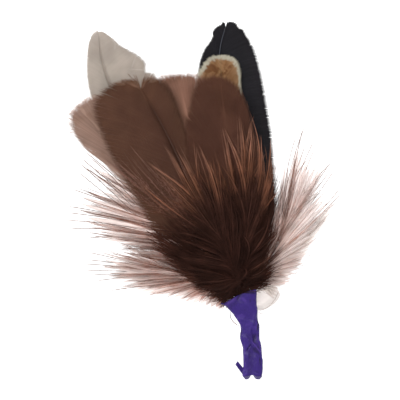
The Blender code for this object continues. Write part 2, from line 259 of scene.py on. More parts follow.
def barb_arcs(starts: np.ndarray, ends: np.ndarray, forward: np.ndarray, lift: np.ndarray,
              stations: int) -> np.ndarray:
    """Lay out loose barbs: each leaves along its shaft, curves out and sinks to its tip.

    Args:
        starts: Where each barb leaves the shaft.
        ends: Where it ends.
        forward: The shaft's direction there.
        lift: How far its middle stands up.
        stations: The number of points on each line.

    Returns:
        The lines, by barb and station.
    """
    v = np.linspace(0.0, 1.0, stations)[None, :, None]
    reach = np.linalg.norm(ends - starts, axis=1)[:, None]
    heading = unit(ends - starts)
    first = starts + 0.33 * reach * unit(0.5 * forward + 0.6 * heading)
    second = ends - 0.33 * reach * heading
    lines = ((1 - v)**3 * starts[:, None] + 3 * (1 - v)**2 * v * first[:, None]
             + 3 * (1 - v) * v**2 * second[:, None] + v**3 * ends[:, None])
    sink = starts[:, None, 2] + (ends - starts)[:, None, 2] * v[..., 0] ** 2.06
    lines[..., 2] = sink + lift[:, None] * np.sin(np.pi * v[..., 0] ** 0.8)
    return lines


def read_lines(lines: np.ndarray, which: np.ndarray, at: np.ndarray) -> np.ndarray:
    """Read points off lines, between their stations too.

    Args:
        lines: The lines, by line and station.
        which: The line of each point.
        at: How far along it each point is, in stations.

    Returns:
        The points.
    """
    low = np.minimum(at.astype(int), lines.shape[1] - 2)
    part = (at - low)[..., None]
    return (1 - part) * lines[which, low] + part * lines[which, low + 1]


def cut_short(lines: np.ndarray, shares: np.ndarray) -> np.ndarray:
    """Cut lines short and spread their stations anew.

    Args:
        lines: The lines, by line and station.
        shares: The share of each line to keep.

    Returns:
        The shorter lines, with as many stations.
    """
    stations = lines.shape[1]
    at = shares[:, None] * np.linspace(0.0, stations - 1.0, stations)
    return read_lines(lines, np.arange(len(lines))[:, None], at)


# Strands, shafts and pieces


@dataclass
class Strands:
    """Barbs and down gathered as arrays, to become one mesh of closed three-sided strands.

    Attributes:
        strip_width: The width of a strand's strip on the map.
        points, count: The mesh's points, and their number so far.
        corners, sizes: The faces' corners, one after another, and how many each face has.
        map_places, values: The points' places on the map, and named numbers for the finish.
    """

    strip_width: float
    points: list[np.ndarray] = field(default_factory=list)
    corners: list[np.ndarray] = field(default_factory=list)
    sizes: list[np.ndarray] = field(default_factory=list)
    map_places: list[np.ndarray] = field(default_factory=list)
    values: dict[str, list[np.ndarray]] = field(default_factory=dict)
    count: int = 0

    def add(self, lines: np.ndarray, half: np.ndarray, rise: np.ndarray, strip: np.ndarray,
            height: np.ndarray, values: dict[str, np.ndarray], strip_width: float = 0.0) -> None:
        """Add strands that taper to a point.

        Args:
            lines: Middle lines, by strand and station, in millimetres.
            half: Half widths at the stations.
            rise: Heights at the stations.
            strip: The middle of each strand's strip on the map.
            height: How far up the map each station lies.
            values: Named numbers for the finish, by strand and station.
            strip_width: The width of a strip, where it isn't the usual one.
        """
        strands, stations = half.shape
        along = unit(np.gradient(lines, axis=1))
        side = unit(np.cross(UP, along))
        top = unit(np.cross(along, side))
        rings = np.stack([lines + half[..., None] * side - rise[..., None] / 3 * top,
                          lines + rise[..., None] * 2 / 3 * top,
                          lines - half[..., None] * side - rise[..., None] / 3 * top], axis=2)
        per = 3 * (stations - 1) + 1
        body = rings[:, :-1].reshape(strands, -1, 3)
        points = np.concatenate([body, lines[:, -1:]], axis=1)

        ring = 3 * np.arange(stations - 2)[:, None]
        turn, after = np.array([0, 1, 2]), np.array([1, 2, 0])
        quads = np.stack([ring + turn, ring + after, ring + after + 3, ring + turn + 3], -1).reshape(-1)
        last = 3 * (stations - 2)
        tips = np.stack([last + turn, last + after, np.full(3, per - 1)], -1).reshape(-1)
        pattern = np.concatenate([quads, tips, [0, 2, 1]])
        sizes = np.concatenate([np.full(3 * (stations - 2), 4), np.full(4, 3)])
        starts = self.count + per * np.arange(strands)[:, None]
        self.corners.append((starts + pattern).reshape(-1))
        self.sizes.append(np.tile(sizes, strands))
        self.points.append(points.reshape(-1, 3))
        self.count += strands * per

        spread = np.array([-0.45, 0.0, 0.45]) * (strip_width or self.strip_width)
        u = np.concatenate([np.tile(spread, stations - 1), [0.0]]) + strip[:, None]
        v = np.concatenate([np.repeat(height[:, :-1], 3, axis=1), height[:, -1:]], axis=1)
        self.map_places.append(np.stack([u, v], -1).reshape(-1, 2))
        for name, rows in values.items():
            rows = np.broadcast_to(rows, half.shape)
            full = np.concatenate([np.repeat(rows[:, :-1], 3, axis=1), rows[:, -1:]], axis=1)
            self.values.setdefault(name, []).append(full.reshape(-1))

    def to_object(self, name: str) -> bpy.types.Object:
        """Make the gathered strands one object.

        Args:
            name: The piece's name.

        Returns:
            The new object, linked to the scene.
        """
        corners = np.concatenate(self.corners).astype(np.int32)
        sizes = np.concatenate(self.sizes).astype(np.int32)
        mesh = bpy.data.meshes.new(name)
        mesh.vertices.add(self.count)
        mesh.vertices.foreach_set("co", (np.concatenate(self.points) * MM).ravel())
        mesh.loops.add(len(corners))
        mesh.loops.foreach_set("vertex_index", corners)
        mesh.polygons.add(len(sizes))
        loop_starts = np.concatenate([[0], np.cumsum(sizes)[:-1]]).astype(np.int32)
        mesh.polygons.foreach_set("loop_start", loop_starts)
        mesh.update(calc_edges=True)
        places = np.concatenate(self.map_places)
        mesh.uv_layers.new(name="OFBake").uv.foreach_set("vector", places[corners].ravel())
        for value, rows in self.values.items():
            mesh.attributes.new(value, "FLOAT", "POINT").data.foreach_set("value", np.concatenate(rows))
        item = bpy.data.objects.new(name, mesh)
        bpy.context.scene.collection.objects.link(item)
        return item


def deselect() -> None:
    """Leave object mode ready for a new piece, with nothing selected."""
    if bpy.context.object and bpy.context.object.mode != "OBJECT":
        bpy.ops.object.mode_set(mode="OBJECT")
    bpy.ops.object.select_all(action="DESELECT")


def clear_picks(kind: str) -> None:
    """Leave nothing of the active mesh picked, ready for picking one kind of part.

    Args:
        kind: The kind of part, FACE or EDGE.
    """
    bpy.ops.object.mode_set(mode="EDIT")
    bpy.ops.mesh.select_mode(type=kind)
    bpy.ops.mesh.select_all(action="DESELECT")
    bpy.ops.object.mode_set(mode="OBJECT")


def make_shaft(name: str, line: np.ndarray, radii: np.ndarray) -> bpy.types.Object:
    """Model a quill and shaft as a tapered curve and turn it into a closed mesh.

    Args:
        name: The shaft's name.
        line: Its middle line, in millimetres.
        radii: Its radius at each point, in millimetres.

    Returns:
        The shaft's mesh object, selected and active.
    """
    deselect()
    curve = bpy.data.curves.new(name, "CURVE")
    curve.dimensions = "3D"
    curve.bevel_depth = MM
    curve.bevel_resolution = 2
    curve.use_fill_caps = True
    curve.resolution_u = 3
    spline = curve.splines.new("NURBS")
    spline.points.add(len(line) - 1)
    spline.order_u = 3
    spline.use_endpoint_u = True
    spline.points.foreach_set("co", np.column_stack([line * MM, np.ones(len(line))]).ravel())
    spline.points.foreach_set("radius", radii)
    shaft = bpy.data.objects.new(name, curve)
    bpy.context.scene.collection.objects.link(shaft)
    shaft.select_set(True)
    bpy.context.view_layer.objects.active = shaft
    bpy.ops.object.convert(target="MESH")
    bpy.ops.object.shade_smooth()
    return shaft


def map_shaft(shaft: bpy.types.Object, line: np.ndarray) -> None:
    """Give a shaft its strip on the map, and the numbers that its finish reads.

    Args:
        shaft: The shaft's mesh object.
        line: Its middle line, in millimetres.
    """
    mesh = shaft.data
    points = np.empty(3 * len(mesh.vertices))
    mesh.vertices.foreach_get("co", points)
    points = points.reshape(-1, 3) / MM
    gaps = np.linalg.norm(points[:, None, :] - line[None, :, :], axis=2)
    nearest = gaps.argmin(axis=1)
    along = nearest / (len(line) - 1)
    offset = points - line[nearest]
    across = 0.5 + 0.5 * np.arctan2(offset[:, 2], offset[:, 0] + 1e-6) / np.pi
    mesh.attributes.new("along", "FLOAT", "POINT").data.foreach_set("value", along)
    corners = np.empty(len(mesh.loops), dtype=np.int32)
    mesh.loops.foreach_get("vertex_index", corners)
    u = SHAFT_STRIP[0] + (SHAFT_STRIP[1] - SHAFT_STRIP[0]) * across[corners]
    places = np.column_stack([u, MAP_FOOT + MAP_TALL * along[corners]])
    mesh.uv_layers.new(name="OFBake").uv.foreach_set("vector", places.ravel())


def join_pieces(parts: list[bpy.types.Object], name: str) -> bpy.types.Object:
    """Join a feather's parts into one piece.

    Args:
        parts: The parts, each with its own finish.
        name: The piece's name.

    Returns:
        The joined piece.
    """
    deselect()
    for part in parts:
        part.select_set(True)
    bpy.context.view_layer.objects.active = parts[0]
    bpy.ops.object.join()
    piece = bpy.context.view_layer.objects.active
    piece.name = name
    piece.data.name = name
    return piece


def hand_over(piece: bpy.types.Object, node: str) -> None:
    """Put a finished piece in place of its CAD solid.

    Args:
        piece: The piece.
        node: The CAD node that it stands for.
    """
    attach(piece, "root")
    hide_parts(node)
    triangles = sum(len(face.vertices) - 2 for face in piece.data.polygons)
    LOG.info("%s: %d triangles, in place of %s", piece.name, triangles, node)


# Finishes


class Nodes:
    """A short way to lay out the nodes of one material."""

    def __init__(self, name: str) -> None:
        """Start a material with nothing but its output."""
        self.material = bpy.data.materials.new(name)
        self.material.use_nodes = True
        self.tree = self.material.node_tree
        self.tree.nodes.clear()
        self.output = self.tree.nodes.new("ShaderNodeOutputMaterial")

    def add(self, kind: str, settings: Optional[dict[str, str]] = None,
            **inputs: Union[Number, tuple]) -> bpy.types.Node:
        """Add a node.

        Args:
            kind: The node's type, without its common prefix.
            settings: The node's own properties.
            **inputs: Sockets by name, with _ for a space: a socket to link, or a value.

        Returns:
            The node.
        """
        node = self.tree.nodes.new("ShaderNode" + kind)
        for name, value in (settings or {}).items():
            setattr(node, name, value)
        for name, value in inputs.items():
            socket = node.inputs[int(name[1:])] if name[0] == "i" and name[1:].isdigit() \
                else node.inputs[name.replace("_", " ")]
            if isinstance(value, bpy.types.NodeSocket):
                self.tree.links.new(value, socket)
            else:
                socket.default_value = value
        return node

    def value(self, name: str) -> bpy.types.NodeSocket:
        """Read a number that the mesh carries."""
        return self.add("Attribute", {"attribute_name": name}).outputs["Fac"]

    def math(self, operation: str, a: Number, b: Number) -> bpy.types.NodeSocket:
        """Do a sum on two numbers."""
        return self.add("Math", {"operation": operation}, i0=a, i1=b).outputs[0]

    def span(self, value: Number, start: float, end: float, low: float = 0.0,
             high: float = 1.0) -> bpy.types.NodeSocket:
        """Bring a number smoothly from the range start to end to the range low to high."""
        return self.add("MapRange", {"interpolation_type": "SMOOTHSTEP"}, i0=value, i1=start, i2=end,
                        i3=low, i4=high).outputs[0]

    def noise(self, scale: float, detail: float = 3.0, stretch: Optional[Point] = None,
              distortion: float = 0.0) -> bpy.types.NodeSocket:
        """Lay noise from about 0.25 to 0.75 in the piece's own space, scale grains to a metre."""
        place = self.add("TexCoord").outputs["Object"]
        if stretch:
            place = self.add("Mapping", Vector=place, Scale=stretch).outputs[0]
        return self.add("TexNoise", Vector=place, Scale=scale, Detail=detail,
                        Distortion=distortion).outputs["Fac"]

    def ramp(self, value: Number, stops: Stops) -> bpy.types.NodeSocket:
        """Change a colour through stops, and read it at a value.

        Returns:
            The colour.
        """
        node = self.add("ValToRGB", Fac=value)
        elements = node.color_ramp.elements
        while len(elements) > 1:
            elements.remove(elements[-1])
        for k, (place, colour) in enumerate(stops):
            element = elements[0] if k == 0 else elements.new(place)
            element.position = place
            element.color = (*colour, 1.0)
        return node.outputs["Color"]

    def mix(self, amount: Number, a: Paint, b: Paint, blend: str = "MIX") -> bpy.types.NodeSocket:
        """Lay colour b over colour a by an amount."""
        settings = {"data_type": "RGBA", "blend_type": blend}
        colours = [(*c, 1.0) if isinstance(c, tuple) else c for c in (a, b)]
        return self.add("Mix", settings, i0=amount, i6=colours[0], i7=colours[1]).outputs[2]

    def shade(self, colour: Paint, value: Number) -> bpy.types.NodeSocket:
        """Make a colour lighter or darker by a number."""
        grey = self.add("CombineColor", Red=value, Green=value, Blue=value).outputs[0]
        return self.mix(1.0, colour, grey, "MULTIPLY")

    def finish(self, colour: Union[bpy.types.NodeSocket, tuple], roughness: Number,
               bump: Optional[tuple[Number, float, float]] = None, through: Number = 0.0,
               **shine: Union[Number, tuple]) -> bpy.types.Material:
        """Close the material with its shader.

        Args:
            colour: The surface colour.
            roughness: The roughness.
            bump: A height, and its strength and depth.
            through: The share of light that passes through.
            **shine: Other sockets of the shader.

        Returns:
            The material.
        """
        shader = self.add("BsdfPrincipled", Base_Color=colour, Roughness=roughness, **shine)
        if bump:
            height, strength, depth = bump
            lumps = self.add("Bump", Height=height, Strength=strength, Distance=depth)
            self.tree.links.new(lumps.outputs[0], shader.inputs["Normal"])
        surface = shader.outputs[0]
        if through != 0.0:
            glow = self.add("BsdfTranslucent", Color=colour)
            surface = self.add("MixShader", i0=through, i1=surface, i2=glow.outputs[0]).outputs[0]
        self.tree.links.new(surface, self.output.inputs["Surface"])
        return self.material


@dataclass(frozen=True)
class VaneFinish:
    """A closed vane: its colour from shaft to edge, its tip, its rim and its mottling.

    Attributes:
        name: The material's name.
        across: The colours from the shaft to the edge.
        tip: The colour at the feather's tip.
        tip_from: Where along the vane it begins.
        rim, rim_amount: The colour of the rim, and how much of it is laid on.
        rim_mm: How far in from the edge the rim is full, and where it ends.
        patch, patch_amount: The colour of the mottling, and how much of it is laid on.
        patch_size_mm: The size of its blotches.
        through: The share of light that passes through.
        roughness: The least and the greatest roughness.
        tone: How much lighter or darker single barbs are.
    """

    name: str
    across: Stops
    tip: Colour
    tip_from: float
    rim: Colour
    rim_mm: tuple[float, float]
    rim_amount: float
    patch: Colour
    patch_size_mm: float
    patch_amount: float
    through: float = 0.3
    roughness: tuple[float, float] = (0.55, 0.8)
    tone: float = 0.10

    def material(self) -> bpy.types.Material:
        """Lay out the finish as a material.

        Returns:
            The material.
        """
        nodes = Nodes(self.name)
        colour = nodes.ramp(nodes.value("along"), self.across)
        colour = nodes.mix(nodes.span(nodes.value("place"), self.tip_from, 1.0), colour, self.tip)
        patches = nodes.noise(1000.0 / self.patch_size_mm, 4.0, distortion=0.6)
        patches = nodes.span(patches, 0.42, 0.62, 0.0, self.patch_amount)
        colour = nodes.mix(patches, colour, self.patch)
        rim = nodes.math("ADD", nodes.value("rim"), nodes.span(nodes.noise(450.0), 0.3, 0.7, -0.5, 0.5))
        rim = nodes.span(rim, self.rim_mm[0], self.rim_mm[1], self.rim_amount, 0.0)
        colour = nodes.mix(rim, colour, self.rim)
        tone = nodes.span(nodes.value("tone"), 0.0, 1.0, 1.0 - self.tone, 1.0 + self.tone)
        clouds = nodes.span(nodes.noise(90.0, 2.0), 0.3, 0.7, 0.9, 1.1)
        colour = nodes.shade(colour, nodes.math("MULTIPLY", tone, clouds))
        fine = nodes.noise(2600.0, 2.0)
        rough = nodes.span(fine, 0.3, 0.7, *self.roughness)
        return nodes.finish(colour, rough, (fine, 0.25, 0.0001), self.through, Specular_IOR_Level=0.12)


@dataclass(frozen=True)
class DownFinish:
    """Loose barbs, their down and its webs, each with its colours from root to tip.

    Attributes:
        name: The material's name.
        barbs: The colours of the barbs.
        down: The colours of the down.
        web: The colours of the webs and films of finest down.
        through: The share of light that passes through the barbs and through the down.
        tone: How much lighter or darker single strands are.
        web_change: How much of the change in tone the webs show.
    """

    name: str
    barbs: Stops
    down: Stops
    web: Stops
    through: tuple[float, float] = (0.35, 0.9)
    tone: float = 0.25
    web_change: float = 0.25

    def material(self) -> bpy.types.Material:
        """Lay out the finish as a material.

        Returns:
            The material.
        """
        nodes = Nodes(self.name)
        along = nodes.value("along")
        colour = nodes.mix(nodes.value("down"), nodes.ramp(along, self.barbs),
                           nodes.ramp(along, self.down))
        colour = nodes.mix(nodes.value("web"), colour, nodes.ramp(along, self.web))
        tone = nodes.span(nodes.value("tone"), 0.0, 1.0, 1.0 - self.tone, 1.0 + self.tone)
        clouds = nodes.span(nodes.noise(160.0, 2.0), 0.3, 0.7, 0.8, 1.2)
        change = nodes.math("SUBTRACT", nodes.math("MULTIPLY", tone, clouds), 1.0)
        calm = nodes.span(nodes.value("web"), 0.0, 1.0, 1.0, self.web_change)
        change = nodes.math("MULTIPLY", change, calm)
        colour = nodes.shade(colour, nodes.math("ADD", change, 1.0))
        fine = nodes.noise(2200.0, 2.0)
        through = nodes.span(nodes.value("down"), 0.0, 1.0, *self.through)
        return nodes.finish(colour, nodes.span(fine, 0.3, 0.7, 0.6, 0.9), None, through,
                            Specular_IOR_Level=0.1)


@dataclass(frozen=True)
class ShaftFinish:
    """A quill and shaft: its colour at the quill, at its middle and at its tip."""

    name: str
    quill: Colour
    middle: Colour
    tip: Colour

    def material(self) -> bpy.types.Material:
        """Lay out the finish as a material.

        Returns:
            The material.
        """
        nodes = Nodes(self.name)
        stops = ((0.0, self.quill), (0.35, self.middle), (1.0, self.tip))
        colour = nodes.ramp(nodes.value("along"), stops)
        streaks = nodes.noise(700.0, 3.0, (1.0, 0.12, 1.0))
        colour = nodes.shade(colour, nodes.span(streaks, 0.3, 0.7, 0.8, 1.2))
        rough = nodes.span(streaks, 0.3, 0.7, 0.35, 0.55)
        return nodes.finish(colour, rough, (streaks, 0.2, 0.0001), 0.12, Specular_IOR_Level=0.2)


@dataclass(frozen=True)
class TapeFinish:
    """Satin tape: its dye, the colour of the highlights painted on it, and the colour of the shade painted
    where it is folded.
    """

    name: str
    dye: Colour
    painted_highlight: Colour
    painted_shade: Colour

    def material(self) -> bpy.types.Material:
        """Lay out the finish as a material.

        Returns:
            The material.
        """
        nodes = Nodes(self.name)
        clouds = nodes.noise(230.0, 4.0, distortion=0.8)
        # Noise clouds of the satin run from the painted shade colour through the dye to the painted
        # highlight colour.
        colour = nodes.ramp(clouds, ((0.2, self.painted_shade), (0.45, self.dye), (0.6, self.dye), (0.95, self.painted_highlight)))
        grain = nodes.noise(2400.0, 3.0, (1.0, 0.35, 1.0))
        colour = nodes.shade(colour, nodes.span(grain, 0.3, 0.7, 0.92, 1.08))
        wrinkles = nodes.noise(520.0, 4.0, (1.0, 0.45, 1.0), 1.2)
        height = nodes.math("ADD", wrinkles, nodes.math("MULTIPLY", grain, 0.12))
        rough = nodes.span(grain, 0.3, 0.7, 0.38, 0.52)
        # Lay the painted shade where the tape is folded, and the painted highlights, as the mesh marks them.
        colour = nodes.mix(nodes.span(nodes.value("painted_shade"), 0.0, 1.0, 0.0, 0.85), colour, self.painted_shade)
        colour = nodes.mix(nodes.span(nodes.value("painted_highlight"), 0.0, 1.0, 0.0, 0.8), colour, self.painted_highlight)
        return nodes.finish(colour, rough, (height, 0.5, 0.0006), 0.0, Specular_IOR_Level=0.2)


@dataclass(frozen=True)
class TableFinish:
    """A pale, matt table top lit so evenly that it hardly shows a shadow."""

    name: str
    colour: Colour
    glow: float

    def material(self) -> bpy.types.Material:
        """Lay out the finish as a material.

        Returns:
            The material.
        """
        nodes = Nodes(self.name)
        return nodes.finish((*self.colour, 1.0), 0.9, None, 0.0,
                            Emission_Color=(1.0, 1.0, 1.0, 1.0), Emission_Strength=self.glow)


# The kinds of piece, and the studio


@dataclass
class Feather:
    """What every feather of the bunch has.

    Attributes:
        piece: The finished piece's name.
        node: The CAD solid that it stands for.
        slot: The record's material slot for the feather; it is not used.
        finish: The finish of its barbs.
        shaft_finish: The finish of its shaft.
        quill_slot: Its quill's column and row in the wrap.
    """

    piece: str
    node: str
    slot: str
    finish: Union[VaneFinish, DownFinish]
    shaft_finish: ShaftFinish
    quill_slot: tuple[int, int]

    def assemble(self, strands: Strands, quill_y: tuple[float, ...], quill_radius: float,
                 rachis: np.ndarray, radii: np.ndarray) -> None:
        """Join the barbs and the shaft, and put them in place of the CAD solid.

        Args:
            strands: The barbs and the down.
            quill_y: The y of each point of the quill in the wrap.
            quill_radius: The quill's radius.
            rachis: The shaft's middle line beyond the quill.
            radii: The shaft's radius at each point of that line.
        """
        barbs = strands.to_object(self.piece + "_barbs")
        barbs.data.materials.append(self.finish.material())
        quill = quill_line(self.quill_slot, quill_y, rachis[0])
        line = np.vstack([quill, rachis])
        radii = np.concatenate([np.full(len(quill), quill_radius), radii])
        shaft = make_shaft(self.piece + "_shaft", line, radii)
        map_shaft(shaft, line)
        shaft.data.materials.append(self.shaft_finish.material())
        hand_over(join_pieces([barbs, shaft], self.piece), self.node)


@dataclass
class VanedFeather(Feather):
    """A feather with a closed vane: a shaft and a row of barbs on each side of it.

    Attributes:
        layer: The number of layers beneath it.
        lie: What it rests on.
        rachis: The shaft in plan, from the vane's foot to its tip.
        left, right: The vane's edges in plan, from foot to tip.
        barbs: The number of barbs on a side.
        seed: The start of its random numbers.
        splits: A side, a place along the vane, the share of the vane's width that holds together
            and the gap at the edge in millimetres.
        frays: A side, two places along the vane between which the barbs come apart, and how much
            they do.
        tufts: A fan of fine hairs on the vane: its root, its first and last end, and the number
            of hairs.
        tuft_from: Where the hairs begin, as a share of their reach.
        fringe_mm: How far in from the edge the barbs grow thin.
        ragged_mm: How uneven the edge is.
        stations: The number of points on each barb.
        shaft_radii: The shaft's radius at the vane's foot and at its tip.
        shaft_level: The shaft's level at the tip over the vane's underside.
    """

    layer: int
    lie: Lie
    rachis: Chain
    left: Chain
    right: Chain
    barbs: int
    seed: int
    splits: tuple[tuple[Side, float, float, float], ...] = ()
    frays: tuple[tuple[Side, float, float, float], ...] = ()
    tufts: tuple[tuple[tuple[float, float], tuple[float, float], tuple[float, float], int], ...] = ()
    tuft_from: float = 0.0
    fringe_mm: float = 1.2
    ragged_mm: float = 0.35
    stations: int = 10
    shaft_radii: tuple[float, float] = (0.38, 0.06)
    shaft_level: float = 0.30

    def under(self, plan: np.ndarray) -> np.ndarray:
        """Bring plan points up to the underside of this feather.

        Args:
            plan: Points in plan.

        Returns:
            The same points in space.
        """
        levels = np.full(plan.shape[:-1], self.layer * LAYER)
        if self.lie is Lie.STACK:
            levels = levels + crown(plan[..., 0], plan[..., 1])
        return np.concatenate([plan, levels[..., None]], axis=-1)

    def station_places(self) -> np.ndarray:
        """Place the stations of a barb, a little closer together at its tip."""
        return np.linspace(0.0, 1.0, self.stations) ** 0.92

    def looseness(self, side: Side, places: np.ndarray) -> np.ndarray:
        """Work out how much the barbs on one side come apart.

        Args:
            side: The side of the shaft.
            places: The place of each barb along the vane.

        Returns:
            The looseness of each barb.
        """
        loose = np.zeros(self.barbs)
        for fray_side, start, end, amount in self.frays:
            if fray_side is side:
                within = ease(places, start - 0.04, start + 0.04)
                loose += amount * within * (1 - ease(places, end - 0.04, end + 0.04))
        return loose

    def row(self, side: Side, rng: np.random.Generator) -> tuple[np.ndarray, np.ndarray]:
        """Lay out the middle lines of the barbs on one side.

        Args:
            side: The side of the shaft.
            rng: The feather's own random numbers.

        Returns:
            The lines by barb and station, and the place of each barb along the vane.
        """
        places = (np.arange(self.barbs) + 0.5) / self.barbs
        roots = smooth_chain(self.rachis, places)
        edges = smooth_chain(self.left if side is Side.LEFT else self.right, places)
        tangents = unit(np.gradient(roots, axis=0))
        edge_run = unit(np.gradient(edges, axis=0))
        reach = np.linalg.norm(edges - roots, axis=1)
        direction = unit(edges - roots)
        loose = self.looseness(side, places)
        ragged = rng.normal(0.0, self.ragged_mm, self.barbs) * (1 + 5 * loose)
        trim = ragged - 2.5 * loose * rng.random(self.barbs)
        edges = edges + direction * np.maximum(trim, -0.4 * reach)[:, None]

        v = self.station_places()
        bend = roots + 0.45 * (edges - roots) + 0.10 * reach[:, None] * tangents
        lines = sweep(roots[:, None], bend[:, None], edges[:, None], v[None, :, None])

        shift = np.zeros((self.barbs, self.stations))
        at = 0
        while at < self.barbs:
            size = int(rng.integers(5, 16))
            members = np.arange(at, min(at + size, self.barbs))
            middle = members.mean()
            spacing = np.linalg.norm(np.gradient(edges, axis=0), axis=1)[members]
            pull = rng.uniform(0.02, 0.10) + 0.55 * loose[members]
            start = rng.uniform(0.75, 0.9) - 0.4 * loose[members].mean()
            drawn = (middle - members) * spacing * pull
            shift[members] += drawn[:, None] * ease(v, start, 1.0)[None, :]
            at += size
        for split_side, place, depth, gap in self.splits:
            if split_side is side:
                away = places - place
                strength = np.sign(away) * np.exp(-(away / 0.035) ** 2) * gap / 2
                shift += strength[:, None] * np.clip((v - depth) / (1 - depth), 0, 1)[None, :]
        lines = lines + shift[..., None] * edge_run[:, None, :]
        wander = rng.normal(0.0, 1.0, (self.barbs, 1)) * loose[:, None] * 0.8 * v[None, :] ** 2
        lines = lines + wander[..., None] * edge_run[:, None, :]
        return lines, places

    def add_side(self, strands: Strands, side: Side, first: int, rng: np.random.Generator) -> None:
        """Add the barbs of one side.

        Args:
            strands: The strands to add to.
            side: The side of the shaft.
            first: The number of the side's first strip on the map.
            rng: The feather's own random numbers.
        """
        plan, places = self.row(side, rng)
        v = self.station_places()
        lines = self.under(plan)
        lines[..., 2] += 0.30 - 0.25 * v[None, :] ** 2 * (self.lie is Lie.STACK)
        ripple = rng.normal(0.0, 0.035, (self.barbs, 1))
        lines[..., 2] += ripple * v[None, :]
        length = np.linalg.norm(np.diff(plan, axis=1), axis=-1).sum(axis=1)
        rim = length[:, None] * (1 - v[None, :])
        thin = 0.22 + 0.78 * ease(rim, 0.0, self.fringe_mm)
        half = np.clip(0.62 * crossing(plan), 0.05, 0.6) * thin
        rise = np.full(half.shape, 0.16) * (0.5 + 0.5 * thin)
        strip = FIRST_STRIP + strands.strip_width * (np.arange(self.barbs) + first + 0.5)
        height = np.broadcast_to(MAP_FOOT + MAP_TALL * v, half.shape)
        strands.add(lines, half, rise, strip, height, {
            "along": v, "place": places[:, None], "rim": rim, "tone": rng.random((self.barbs, 1))})

    def add_tufts(self, strands: Strands, rng: np.random.Generator) -> None:
        """Add the fans of fine hairs.

        Args:
            strands: The strands to add to.
            rng: The feather's own random numbers.
        """
        v = np.linspace(0.0, 1.0, 6)
        for number, (root, first, last, hairs) in enumerate(self.tufts):
            ends = np.linspace(first, last, hairs) + rng.normal(0.0, 0.35, (hairs, 2))
            begin = self.tuft_from + 0.35 * rng.random((hairs, 1))
            start = np.array(root) + begin * (ends - root)
            lines = self.under(start[:, None] + v[None, :, None] * (ends - start)[:, None])
            lines[..., 2] += 0.42
            half = np.broadcast_to(0.07 - 0.04 * v, (hairs, len(v)))
            strip = np.full(hairs, TUFT_STRIP + TUFT_STRIP_WIDTH * number)
            height = np.broadcast_to(MAP_FOOT + MAP_TALL * v, half.shape)
            strands.add(lines, half, 1.2 * half, strip, height, {
                "along": ALL, "place": np.full((1, 1), 0.5), "rim": NONE,
                "tone": rng.random((hairs, 1))}, TUFT_STRIP_WIDTH)

    def dress(self) -> None:
        """Build the feather in place of its CAD solid."""
        rng = np.random.default_rng(self.seed)
        strands = Strands(ALL_STRIPS / (2 * self.barbs))
        for number, side in enumerate(Side):
            self.add_side(strands, side, number * self.barbs, rng)
        self.add_tufts(strands, rng)
        rachis = self.under(smooth_chain(self.rachis, np.linspace(0.0, 0.985, 40)))
        rachis[:, 2] += np.linspace(0.42, self.shaft_level, len(rachis))
        self.assemble(strands, LONG_QUILL_Y, VANED_QUILL_RADIUS, rachis,
                      np.linspace(*self.shaft_radii, len(rachis)))


@dataclass
class Locks:
    """Barbs gathered in locks, and the middles of the locks, which their webs of down follow.

    Attributes:
        lines, tone, pale: The barbs' lines, how light each is and how far it pales to its tip.
        middles, middle_tone, middle_pale: The same of the locks.
    """

    lines: np.ndarray
    tone: np.ndarray
    pale: np.ndarray
    middles: np.ndarray
    middle_tone: np.ndarray
    middle_pale: np.ndarray


